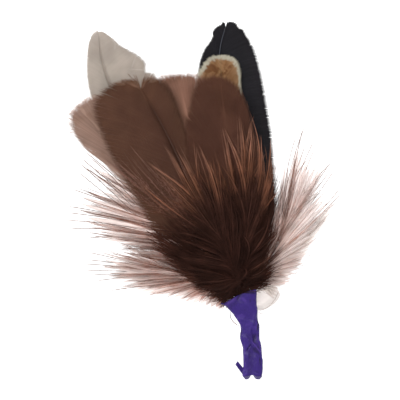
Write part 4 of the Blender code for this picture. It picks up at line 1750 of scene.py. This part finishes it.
LEFT_VANE = VaneFinish(
    "brown_vane",
    ((0.0, (0.0911, 0.04, 0.0262)), (0.3, (0.119, 0.0538, 0.0345)), (1.0, (0.127, 0.0593, 0.0359))),
    tip=(0.138, 0.0635, 0.0373), tip_from=0.8, rim=(0.26, 0.142, 0.092), rim_mm=(0.1, 1.6), rim_amount=0.75,
    patch=(0.0966, 0.0428, 0.0262), patch_size_mm=12.0, patch_amount=0.45, tone=0.07)
RIGHT_VANE = VaneFinish(
    "dark_brown_vane",
    ((0.0, (0.110, 0.0455, 0.0305)), (0.3, (0.112, 0.0465, 0.0305)), (1.0, (0.114, 0.049, 0.0310))),
    tip=(0.114, 0.048, 0.029), tip_from=0.8, rim=(0.28, 0.145, 0.095), rim_mm=(0.1, 1.8), rim_amount=0.7,
    patch=(0.0834, 0.0339, 0.0215), patch_size_mm=12.0, patch_amount=0.45, tone=0.07)

SIDE_DOWN = DownFinish(
    "side_down",
    barbs=((0.0, (0.055, 0.020, 0.013)), (0.12, (0.10, 0.038, 0.025)), (0.3, (0.24, 0.11, 0.075)),
           (0.75, (0.30, 0.155, 0.115)), (1.0, (0.15, 0.095, 0.08))),
    down=((0.0, (0.14, 0.055, 0.035)), (0.25, (0.62, 0.37, 0.29)), (1.0, (0.78, 0.60, 0.53))),
    web=((0.0, (0.50, 0.32, 0.27)), (0.12, (0.84, 0.68, 0.63)), (0.30, (0.93, 0.82, 0.785)),
         (0.6, (0.95, 0.87, 0.845)), (1.0, (0.96, 0.90, 0.875))))
RIGHT_DOWN = DownFinish(
    "right_down",
    barbs=((0.0, (0.12, 0.048, 0.034)), (0.12, (0.20, 0.09, 0.065)), (0.3, (0.37, 0.20, 0.15)),
           (0.75, (0.38, 0.22, 0.175)), (1.0, (0.16, 0.10, 0.085))),
    down=((0.0, (0.52, 0.32, 0.26)), (0.25, (0.72, 0.50, 0.42)), (1.0, (0.80, 0.64, 0.57))),
    web=((0.0, (0.72, 0.53, 0.47)), (0.12, (0.88, 0.75, 0.70)), (0.30, (0.95, 0.86, 0.83)),
         (0.6, (0.965, 0.90, 0.88)), (1.0, (0.97, 0.92, 0.90))),
    through=(0.5, 0.9))
# The centre fluff's colours start near black at the root: its dark brown with the shade of the dense centre
# painted in. The collar barbs and the lowest locks pale less and keep more of this painted shade.
CENTRE_DOWN = DownFinish(
    "centre_down",
    barbs=((0.0, (0.036, 0.013, 0.009)), (0.34, (0.060, 0.023, 0.015)), (0.56, (0.25, 0.102, 0.058)),
           (1.0, (0.45, 0.24, 0.172))),
    down=((0.0, (0.038, 0.014, 0.010)), (0.36, (0.068, 0.026, 0.017)), (0.6, (0.27, 0.112, 0.06)),
          (1.0, (0.36, 0.17, 0.11))),
    web=((0.0, (0.034, 0.012, 0.008)), (0.34, (0.052, 0.020, 0.013)), (0.56, (0.21, 0.084, 0.047)),
         (1.0, (0.33, 0.160, 0.110))),
    through=(0.2, 0.3), web_change=1.0)
PALE_DOWN = DownFinish(
    "pale_down",
    barbs=((0.0, (0.60, 0.47, 0.41)), (0.4, (0.48, 0.36, 0.31)), (1.0, (0.38, 0.28, 0.25))),
    down=((0.0, (0.84, 0.74, 0.70)), (0.5, (0.78, 0.65, 0.60)), (1.0, (0.72, 0.56, 0.50))),
    web=((0.0, (0.97, 0.94, 0.92)), (1.0, (0.97, 0.93, 0.91))))

HORN_SHAFT = ShaftFinish("horn_shaft", (0.30, 0.22, 0.14), (0.32, 0.26, 0.20), (0.30, 0.25, 0.205))
BLACK_SHAFT = ShaftFinish("black_shaft", (0.08, 0.06, 0.05), (0.03, 0.03, 0.035), (0.06, 0.065, 0.08))
TAN_SHAFT = ShaftFinish("tan_shaft", (0.16, 0.10, 0.06), (0.14, 0.07, 0.04), (0.24, 0.14, 0.07))
BROWN_SHAFT = ShaftFinish("brown_shaft", (0.07, 0.035, 0.022), (0.052, 0.023, 0.015), (0.06, 0.027, 0.018))
FLAT_SHAFT = ShaftFinish("flat_shaft", (0.07, 0.03, 0.02), (0.11, 0.046, 0.031), (0.12, 0.050, 0.033))
FADED_SHAFT = ShaftFinish("faded_shaft", (0.12, 0.06, 0.04), (0.19, 0.10, 0.072), (0.26, 0.15, 0.115))
PALE_SHAFT = ShaftFinish("pale_shaft", (0.30, 0.20, 0.16), (0.20, 0.11, 0.09), (0.16, 0.09, 0.07))

# The tape's purple dye, the lighter purple of its painted highlights, and the near-black purple of the shade
# painted where it is folded.
TAPE = TapeFinish(
    "purple_tape", dye=(0.0220, 0.0076, 0.111), painted_highlight=(0.070, 0.032, 0.23), painted_shade=(0.008, 0.003, 0.032))
TABLE = TableFinish("pale_table", (0.25, 0.25, 0.25), 1.10)

# The ways of growing that the side feathers and the front feathers share
SIDE_GROWTH = {"down_half": 0.026, "spread": (12.0, 40.0), "collar_thick": 2.5}
FRONT_GROWTH = {
    "barbs": (330, 330), "gather": (0.94, 0.94), "taper": 0.36, "barb_half": (0.10, 0.034),
    "down_length": 1.1, "bow": 3.0, "curl": 0.85, "scatter": 1.0, "free_share": 0.08,
    "short_reach": (0.5, 0.84),
    "web_half": (0.62, 0.62), "web_span": (0.15, 0.95), "web_point": (1.2, 1.0),
    "film_leaves": (12, 12), "film_span": (0.05, 0.45)}

# The vaned feathers, from the lowest up
VANED_FEATHERS = (
    VanedFeather(
        "white_wing_feather", "white_feather", "white_vane", WHITE_VANE, HORN_SHAFT, (1, 0), 0,
        Lie.TABLE,
        rachis=((6, -27), (0, -15), (-17, 13), (-32, 34.5), (-41.5, 50.5), (-45, 63.5), (-45.7, 72.2)),
        left=((-12, -5), (-23.5, 8.5), (-39.5, 28), (-48.6, 41.5), (-51, 51.5), (-51, 60), (-50, 68),
              (-48, 72), (-46.5, 73)),
        right=((0, -3), (-4.5, 8.5), (-11.5, 30), (-17, 43), (-19.4, 49), (-20.2, 52.9),
               (-21.6, 55.1), (-23.2, 55.4), (-24.8, 55.6), (-25, 57.4), (-24.9, 59.3), (-27, 61.8),
               (-31, 64.2), (-35.5, 66.4), (-40, 70), (-44, 72.5)),
        barbs=300, seed=11,
        splits=((Side.RIGHT, 0.715, 0.5, 0.25), (Side.RIGHT, 0.84, 0.85, 0.4),
                (Side.LEFT, 0.86, 0.8, 0.4)),
        tufts=(((-25.0, 55.8), (-33.6, 56.1), (-33.2, 56.6), 4),
               ((-32.0, 56.0), (-29.0, 63.4), (-28.6, 63.4), 4),
               ((-38.8, 64.4), (-38.6, 68.6), (-38.2, 68.4), 4)),
        fringe_mm=0.5, ragged_mm=0.12),
    VanedFeather(
        "black_wing_feather", "black_feather", "black_vane", BLACK_VANE, BLACK_SHAFT, (3, 0), 0,
        Lie.TABLE,
        rachis=((17.5, -28), (17.5, -15), (13.5, 17), (8, 43), (6, 60), (7.2, 69), (8.8, 74.2)),
        left=((8, 0), (1.5, 21.5), (-2.5, 38.5), (-3.5, 51.5), (-3.1, 58), (-1.8, 62.3), (-0.4, 65.4),
              (1.6, 67.8), (3, 70.2), (3.3, 72.8), (5.2, 74.9), (6.8, 75.9), (8.3, 77)),
        right=((26, -29), (30, -23), (31, -12), (31, 0), (30.2, 15), (29, 30), (26.9, 43), (24.4, 56),
               (21.2, 66), (18.2, 71), (16.4, 73.6), (15.3, 73.9), (13.6, 76.2), (11.6, 76.9),
               (9.5, 76.6)),
        barbs=250, seed=12, splits=((Side.RIGHT, 0.93, 0.80, 0.6), (Side.LEFT, 0.90, 0.8, 0.5)),
        frays=((Side.RIGHT, 0.96, 1.1, 0.12), (Side.LEFT, 0.95, 1.1, 0.08)), fringe_mm=0.4,
        ragged_mm=0.12, shaft_radii=(0.42, 0.12)),
    VanedFeather(
        "pale_brown_flat", "brown_feather_far_left", "pale_brown_vane", FAR_LEFT_VANE, FADED_SHAFT,
        (0, 0), 1, Lie.STACK,
        rachis=((8, -30), (2, -21.5), (-15, -3), (-29, 11), (-38, 21), (-43, 27.5)),
        left=((-19.5, -12), (-34.5, 5.5), (-44, 16), (-54, 24.2), (-58, 31), (-58.6, 34.6),
              (-57.8, 38.2), (-54.6, 42)),
        right=((-6, 0), (-21.5, 22.5), (-33, 36.5), (-41, 43.8), (-47.5, 45.4), (-52.3, 43.4),
               (-56, 40.8)),
        barbs=380, seed=13, frays=((Side.LEFT, -0.1, 0.40, 0.3),),
        tufts=(((-50.5, 36.5), (-59.4, 36.5), (-50.0, 45.0), 60),
               ((-50, 30), (-58.8, 29), (-59.2, 37), 40)),
        tuft_from=0.6, fringe_mm=3.0, ragged_mm=0.5, shaft_radii=(0.30, 0.04), shaft_level=0.1),
    VanedFeather(
        "cream_tipped_feather", "barred_feather", "barred_vane", BARRED_VANE, TAN_SHAFT, (3, 1), 1,
        Lie.STACK,
        rachis=((17, -27), (16, -15), (11.5, 21.5), (7.5, 47.5), (6.5, 61.6)),
        left=((3, 4.5), (-2, 26), (-5, 43), (-4.5, 52.5), (-2, 57.5), (1, 61), (4, 62.2), (6.4, 62.4)),
        right=((20, 4.5), (18.5, 26), (16.5, 41), (15.8, 50.5), (15.3, 57.5), (13.2, 61), (9.5, 62.4),
               (6.9, 62.5)),
        barbs=210, seed=14, fringe_mm=0.9, ragged_mm=0.2),
    VanedFeather(
        "middle_brown_flat", "brown_feather_middle", "mid_brown_vane", MIDDLE_VANE, FADED_SHAFT, (2, 1),
        2, Lie.STACK,
        rachis=((13, -24), (10, -11), (2.5, 10.5), (-3, 24), (-6.5, 32)),
        left=((-7, 0), (-17.5, 21.5), (-23.4, 38.5), (-24.2, 47.9), (-22, 52.2), (-17.4, 54.1),
              (-11.1, 54.7)),
        right=((11.5, 4.5), (8, 26), (4.5, 43), (1.8, 51), (-2.8, 54.1), (-11.8, 54.7)),
        tufts=(((-10.5, 47), (-20.5, 53.6), (-2.6, 54.4), 60),),
        tuft_from=0.6, barbs=380, seed=15, fringe_mm=2.4, ragged_mm=0.4, shaft_radii=(0.28, 0.05),
        shaft_level=0.1),
    VanedFeather(
        "left_brown_flat", "brown_feather_left", "brown_vane", LEFT_VANE, BROWN_SHAFT, (1, 1), 3,
        Lie.STACK,
        rachis=((9, -26), (5.5, -16.5), (-7.5, 9.5), (-16.5, 28.5), (-23.5, 41), (-27.5, 47.5)),
        left=((-22, -15), (-31, 1.5), (-40, 17), (-46, 30), (-48.5, 43), (-45, 47), (-40, 50),
              (-33.5, 52), (-29, 53)),
        right=((5, 0), (0.5, 9), (-7, 25), (-11, 38), (-14, 46.5), (-17, 51), (-21, 53),
               (-25.5, 53.5)),
        barbs=420, seed=16, frays=((Side.LEFT, 0.95, 1.1, 0.12), (Side.RIGHT, 0.95, 1.1, 0.10)),
        tufts=(((-27.6, 47.2), (-35.6, 51.2), (-28.6, 52.0), 30),
               ((-27.2, 47.4), (-27.0, 52.2), (-23.0, 52.8), 16),
               ((-34, 49.0), (-41.0, 49.2), (-34.5, 52.2), 18),
               ((-23, 50.0), (-25.5, 53.2), (-17.5, 51.8), 20)),
        fringe_mm=2.8, ragged_mm=0.55),
    VanedFeather(
        "right_brown_flat", "brown_feather_right", "dark_brown_vane", RIGHT_VANE, FLAT_SHAFT, (3, 2), 4,
        Lie.STACK,
        rachis=((17.5, -27), (16.5, -15), (13.5, 8), (11.2, 21), (9.5, 29)),
        left=((0, -3), (-6.5, 12), (-9.5, 25), (-9.2, 34), (-7.2, 41), (-5.3, 48), (-3, 51.8),
              (1, 53.6), (6.4, 54.1)),
        right=((27, -8), (26, 11), (23, 23.5), (20, 35.5), (17.5, 43), (15, 48), (11, 51.8),
               (5.9, 54.1)),
        barbs=420, seed=17, fringe_mm=2.0, ragged_mm=0.45, shaft_radii=(0.28, 0.05), shaft_level=0.12),
)

# The loose-barbed feathers, from the lowest up
LOOSE_FEATHERS = (
    LooseFeather(
        "pale_fluff_low_right", "hackle_low_right", "pale_fluff", PALE_DOWN, PALE_SHAFT, (4, 0),
        Lie.TABLE,
        rachis=((21.6, -36, 1.2), (26, -33.5, 1.2), (33, -26.5, 1.2), (41, -17, 1.1),
                (47.5, -8.5, 1.0), (51.5, -4, 0.9)),
        left=((31.8, -18.5, 0.8), (35.5, -10.5, 0.8), (41, -4.5, 0.8), (46, -1, 0.7), (51, 1, 0.7)),
        right=((33, -39, 0.6), (38.5, -31.5, 0.6), (44.5, -22, 0.6), (51, -12.5, 0.6),
               (55.5, -4.5, 0.6)),
        tip=(57.3, 1.5, 0.6), barbs=(26, 46), down=14, gather=(0.6, 0.4), taper=0.5, seed=21,
        barb_half=(0.022, 0.034), down_length=1.7, down_from=0.12, locks=2, root_share=0.5,
        lift=(0.0, 0.8), bow=0.6, web_half=(0.0, 0.7), web_span=(0.3, 0.97), spread=(15.0, 45.0),
        film_leaves=(0, 34), film_span=(0.05, 0.96),
        flaps=(((20.5, -43.8, 0.7), (26.0, -43.4, 0.7), (30.6, -37.2, 0.7), 4.5),),
        strays=(
            ((22.0, -47.5, 1.8), (24.5, -49.4, 1.2), (27.2, -49.0, 0.8)),
            ((22.8, -47.7, 0.9), (29.5, -46.5, 0.9), (31.8, -38.5, 0.9)),
            ((32.0, -39.0, 0.9), (49.0, -23.0, 0.9), (56.6, 0.5, 0.8)),
            ((29.0, -34.0, 1.6), (38.0, -31.0, 1.4), (47.5, -30.5, 0.8)),
            ((27.0, -35.5, 1.6), (36.0, -34.5, 1.4), (44.0, -36.0, 0.8)),
            ((31.0, -31.0, 1.6), (41.0, -27.5, 1.4), (49.5, -27.0, 0.8)),
            ((30.0, -29.0, 1.8), (41.0, -24.0, 1.5), (51.0, -22.5, 0.8)),
            ((26.0, -37.0, 1.6), (33.0, -38.5, 1.3), (40.5, -38.0, 0.8)))),
    LooseFeather(
        "fluff_low_left", "hackle_low_left", "brown_fluff", SIDE_DOWN, BROWN_SHAFT, (0, 1), Lie.TABLE,
        rachis=((10, -40, 2.6), (4.5, -36.5, 3.0), (-6.5, -32, 3.0), (-18.5, -29, 2.8),
                (-30, -27, 2.4)),
        left=((2.2, -48, 0.7), (-7, -45.5, 0.6), (-18, -43, 0.6), (-30, -40.5, 0.6),
              (-40, -37.5, 0.6), (-47, -33, 0.6)),
        right=((1.5, -30, 2.4), (-7, -25.5, 2.3), (-18, -20.5, 2.0), (-30, -18, 1.4),
               (-42, -18.5, 1.0), (-49.2, -22, 0.7)),
        tip=(-51.8, -28.5, 0.6), barbs=(90, 90), down=22, gather=(0.55, 0.5), taper=0.15,
        stray_reach=0.15, seed=22, barb_half=(0.034, 0.066), down_length=1.9, down_from=0.2,
        down_to=0.78, bow=1.3, root_share=0.33, short_share=0.3, web_half=(0.6, 0.5),
        web_span=(0.3, 0.84), collar_pale=0.2, film_leaves=(22, 16), film_span=(0.08, 0.86),
        collar=((8.5, -44, 2), (4, -42, 2), (-3, -39, 2.5), (-8, -34, 3), (-13, -29, 3),
                (-19, -22, 3)),
        collar_barbs=170,
        strays=(
            ((11.6, -46.5, 2.4), (9.2, -51.5, 1.4), (14.2, -53.9, 1.0)),
            ((-12, -31, 2.8), (-34, -26, 1.6), (-49.4, -22.6, 0.8)),
            ((-12, -33, 2.6), (-33, -28, 1.4), (-52.4, -27.4, 0.7)),
            ((-10, -34, 2.6), (-32, -29.5, 1.4), (-51.0, -30.4, 0.7)),
            ((-10, -35, 2.4), (-29, -31.5, 1.3), (-45.8, -34.6, 0.7)),
            ((-8, -37, 2.2), (-22, -35.5, 1.2), (-39.8, -38.8, 0.6)),
            ((-9, -34, 2.5), (-30, -31, 1.4), (-47.6, -32.0, 0.7)),
            ((-12, -32, 2.7), (-34, -27, 1.5), (-50.6, -25.6, 0.8))),
        **SIDE_GROWTH),
    LooseFeather(
        "fluff_left", "hackle_left", "brown_fluff", SIDE_DOWN, BROWN_SHAFT, (0, 2), Lie.STACK,
        rachis=((12, -36, 6.6), (7.5, -27, 8.0), (-4, -14.5, 8.0), (-14, -4.5, 7.7), (-24, 5.5, 7.4)),
        left=((-8, -33, 5.2), (-24, -26.5, 5.4), (-40, -20.5, 4.6), (-53, -15, 3.0), (-58.5, -8, 1.5),
              (-58.5, 5, 1.2)),
        right=((-4, 4, 7.4), (-9, 12, 7.2), (-18, 18.5, 7.1), (-28, 22.5, 7.0), (-38, 23.5, 6.8),
               (-46, 21.5, 6.2)),
        tip=(-55.5, 18.5, 3.4), barbs=(190, 50), down=26, gather=(0.5, 0.8), taper=0.12,
        stray_reach=0.15, seed=23, barb_half=(0.034, 0.070), down_length=1.9, down_from=0.42,
        down_to=0.78, locks=5, bow=1.3, root_share=0.35, short_share=0.25, crowd=(0.85, 0.45),
        web_half=(0.55, 0.0), web_span=(0.40, 0.84), sink=0.5, film_leaves=(30, 0),
        film_span=(0.12, 0.88), collar_pale=0.1, collar_barbs=330,
        collar=((-3, -37, 4.5), (-9, -31.5, 5), (-15, -26, 5), (-21, -19, 6), (-24, -13, 6.5),
                (-13, -8, 7)),
        strays=(
            ((-30, -2, 6.0), (-42, 9, 4.6), (-52.5, 17.5, 3.6)),
            ((-32, -4, 5.5), (-43, 6.5, 4.2), (-52.8, 15, 3.0)),
            ((-33, -5, 5.0), (-44, 3.5, 3.6), (-53.3, 11.2, 2.4)),
            ((-28, 0, 6.2), (-40, 12, 5.0), (-50.5, 20, 4.2)),
            ((-31, -3, 5.8), (-41, 8, 4.6), (-50.8, 13.4, 3.4)),
            ((-29, -2, 6.2), (-39, 10, 5.0), (-48.4, 17.6, 4.2)),
            ((-26, -8, 4.2), (-42, 0, 2.8), (-56.2, 4.4, 1.8)),
            ((-26, -10, 4.0), (-42, -5, 2.6), (-57.8, -2.8, 1.6)),
            ((-26, -13, 3.8), (-43, -9, 2.4), (-58.6, -8.8, 1.4)),
            ((-24, -15, 3.6), (-42, -11.5, 2.2), (-57.2, -12.2, 1.3)),
            ((-22, -17, 3.4), (-38, -14.5, 2.0), (-50.4, -16.4, 1.2)),
            ((-26, -11, 4.0), (-42, -7, 2.6), (-57.6, -5.6, 1.6))),
        **SIDE_GROWTH),
    LooseFeather(
        "fluff_right", "hackle_right", "brown_fluff", RIGHT_DOWN, BROWN_SHAFT, (4, 1), Lie.STACK,
        rachis=((21, -36, 3.8), (26, -28.5, 5.0), (32, -16.5, 5.0), (37, -4.5, 4.8), (41.5, 7.5, 4.6)),
        left=((28.5, -20, 4.4), (30.2, -8, 4.2), (31.2, 4, 4.0), (33.6, 15, 3.9), (38.4, 23.8, 3.6),
              (41.7, 30.6, 3.2)),
        right=((39, -32, 2.9), (45.5, -24, 2.8), (51, -11, 2.8), (55.7, 3, 2.8), (52.4, 11, 2.8),
               (51, 16, 2.8)),
        tip=(45, 20, 3.0), barbs=(54, 44), down=11, gather=(0.82, 0.82), taper=0.3, stray_reach=0.2,
        seed=24, barb_half=(0.030, 0.056), down_length=1.7, down_from=0.36, down_to=0.85, locks=3,
        bow=2.4, root_share=0.38, short_share=0.3, web_half=(0.35, 0.42), web_span=(0.42, 0.97),
        web_point=(1.3, 1.0), sink=0.6, film_leaves=(28, 22), film_span=(0.06, 0.90), curl=0.8,
        collar=((24, -24, 3.5), (28, -27, 3), (29, -31, 3), (27.5, -36, 2)),
        collar_barbs=100, collar_pale=0.12,
        strays=(
            ((33, -6, 4.2), (36, 16, 4.0), (42.2, 30.4, 3.4)),
            ((34, -8, 4.0), (38, 12, 3.8), (42.6, 22.4, 3.4)),
            ((35, -10, 3.8), (41, 8, 3.6), (46.2, 20.4, 3.2)),
            ((36, -12, 3.6), (43, 6, 3.4), (53.2, 15.4, 3.0)),
            ((37, -14, 3.4), (45, 2, 3.2), (52.2, 10.6, 2.8)),
            ((38, -16, 3.2), (49, -8, 3.0), (57.6, 2.0, 2.8)),
            ((34, -7, 4.1), (38, 14, 3.9), (41.2, 28.0, 3.5)),
            ((36, -13, 3.6), (44, 3, 3.4), (52.4, 14.0, 3.0)),
            ((38, -15, 3.2), (50, -6, 3.0), (57.2, 4.2, 2.8)),
            ((33, -5, 4.2), (35, 17, 4.0), (38.4, 25.6, 3.6)),
            ((34, -6, 4.0), (40, 12, 3.8), (46.0, 24.0, 3.2)),
            ((37, -13, 3.4), (47, 0, 3.2), (54.6, 11.6, 2.8)),
            ((33, -8, 4.0), (36, 10, 3.8), (43.4, 16.8, 3.4)),
            ((36, -16, 3.2), (46, -10, 3.0), (55.0, -2.0, 2.6))),
        **SIDE_GROWTH),
    LooseFeather(
        "fluff_centre", "hackle_centre", "brown_fluff", CENTRE_DOWN, BROWN_SHAFT, (2, 2), Lie.STACK,
        rachis=((17, -35, 8.2), (17, -23, 9.4), (16, -6, 9.4), (15.5, 9.5, 9.2), (16.5, 21, 9.0)),
        left=((9.5, -20, 8.5), (3.5, -5, 8.5), (1.5, 8, 8.5), (3.5, 21, 8.5), (8, 30, 8.5),
              (11, 36, 8.5)),
        right=((27.5, -27, 7.8), (32, -12, 8.5), (33, 4, 8.0), (31.5, 20, 7.5), (26.5, 33, 7.3),
               (21.5, 38, 7.8)),
        tip=(17.6, 41.3, 8.2), down=22, seed=25, lift=(0.2, 2.8), root_share=0.42, short_share=0.45,
        collar_pale=0.31,
        collar=((11, -20, 7), (17, -14, 7), (24, -5, 7), (29, 10, 6.5), (30.5, 14, 6.3), (31.5, 2, 6),
                (32, -10, 5.5), (32, -22, 5), (30.5, -30, 4), (26.5, -38, 3)),
        collar_barbs=700, **FRONT_GROWTH),
    LooseFeather(
        "fluff_centre_left", "hackle_centre_left", "brown_fluff", CENTRE_DOWN, BROWN_SHAFT, (1, 2),
        Lie.STACK,
        rachis=((14, -35, 10.6), (11, -24, 11.6), (2.5, -9, 11.5), (-4, 2.5, 11.0), (-9, 12, 10.6)),
        left=((-4, -34, 9.9), (-17, -21, 9.9), (-25, -9, 9.7), (-28, 5, 9.4), (-27, 17, 9.1),
              (-20, 26, 8.9)),
        right=((11, -15, 11.0), (10, -1, 11.0), (8.5, 12, 10.6), (5, 24, 10.2), (-0.5, 33, 9.8),
               (-6, 29.5, 9.5)),
        tip=(-12, 30, 9.2), down=20, seed=26, lift=(0.2, 2.1), root_share=0.40, short_share=0.6,
        low_pale=0.15, collar_pale=0.16,
        collar=((8, -45, 3), (5, -42, 3.5), (-2, -38, 5), (-9, -31, 7), (-15, -25, 8),
                (-24, -15, 8.5), (-18, -6, 9), (-2, -4, 9.5), (8, -6, 9.5), (15, -10, 9)),
        collar_barbs=760, **FRONT_GROWTH),
)


def main() -> None:
    """Build the bunch and its studio, and report each piece."""
    logging.basicConfig(level=logging.INFO, format="%(name)s: %(message)s")
    TapeWrap(TAPE).dress()
    for feather in VANED_FEATHERS + LOOSE_FEATHERS:
        feather.dress()
    Studio(TABLE).build()


if __name__ == "__main__":
    main()
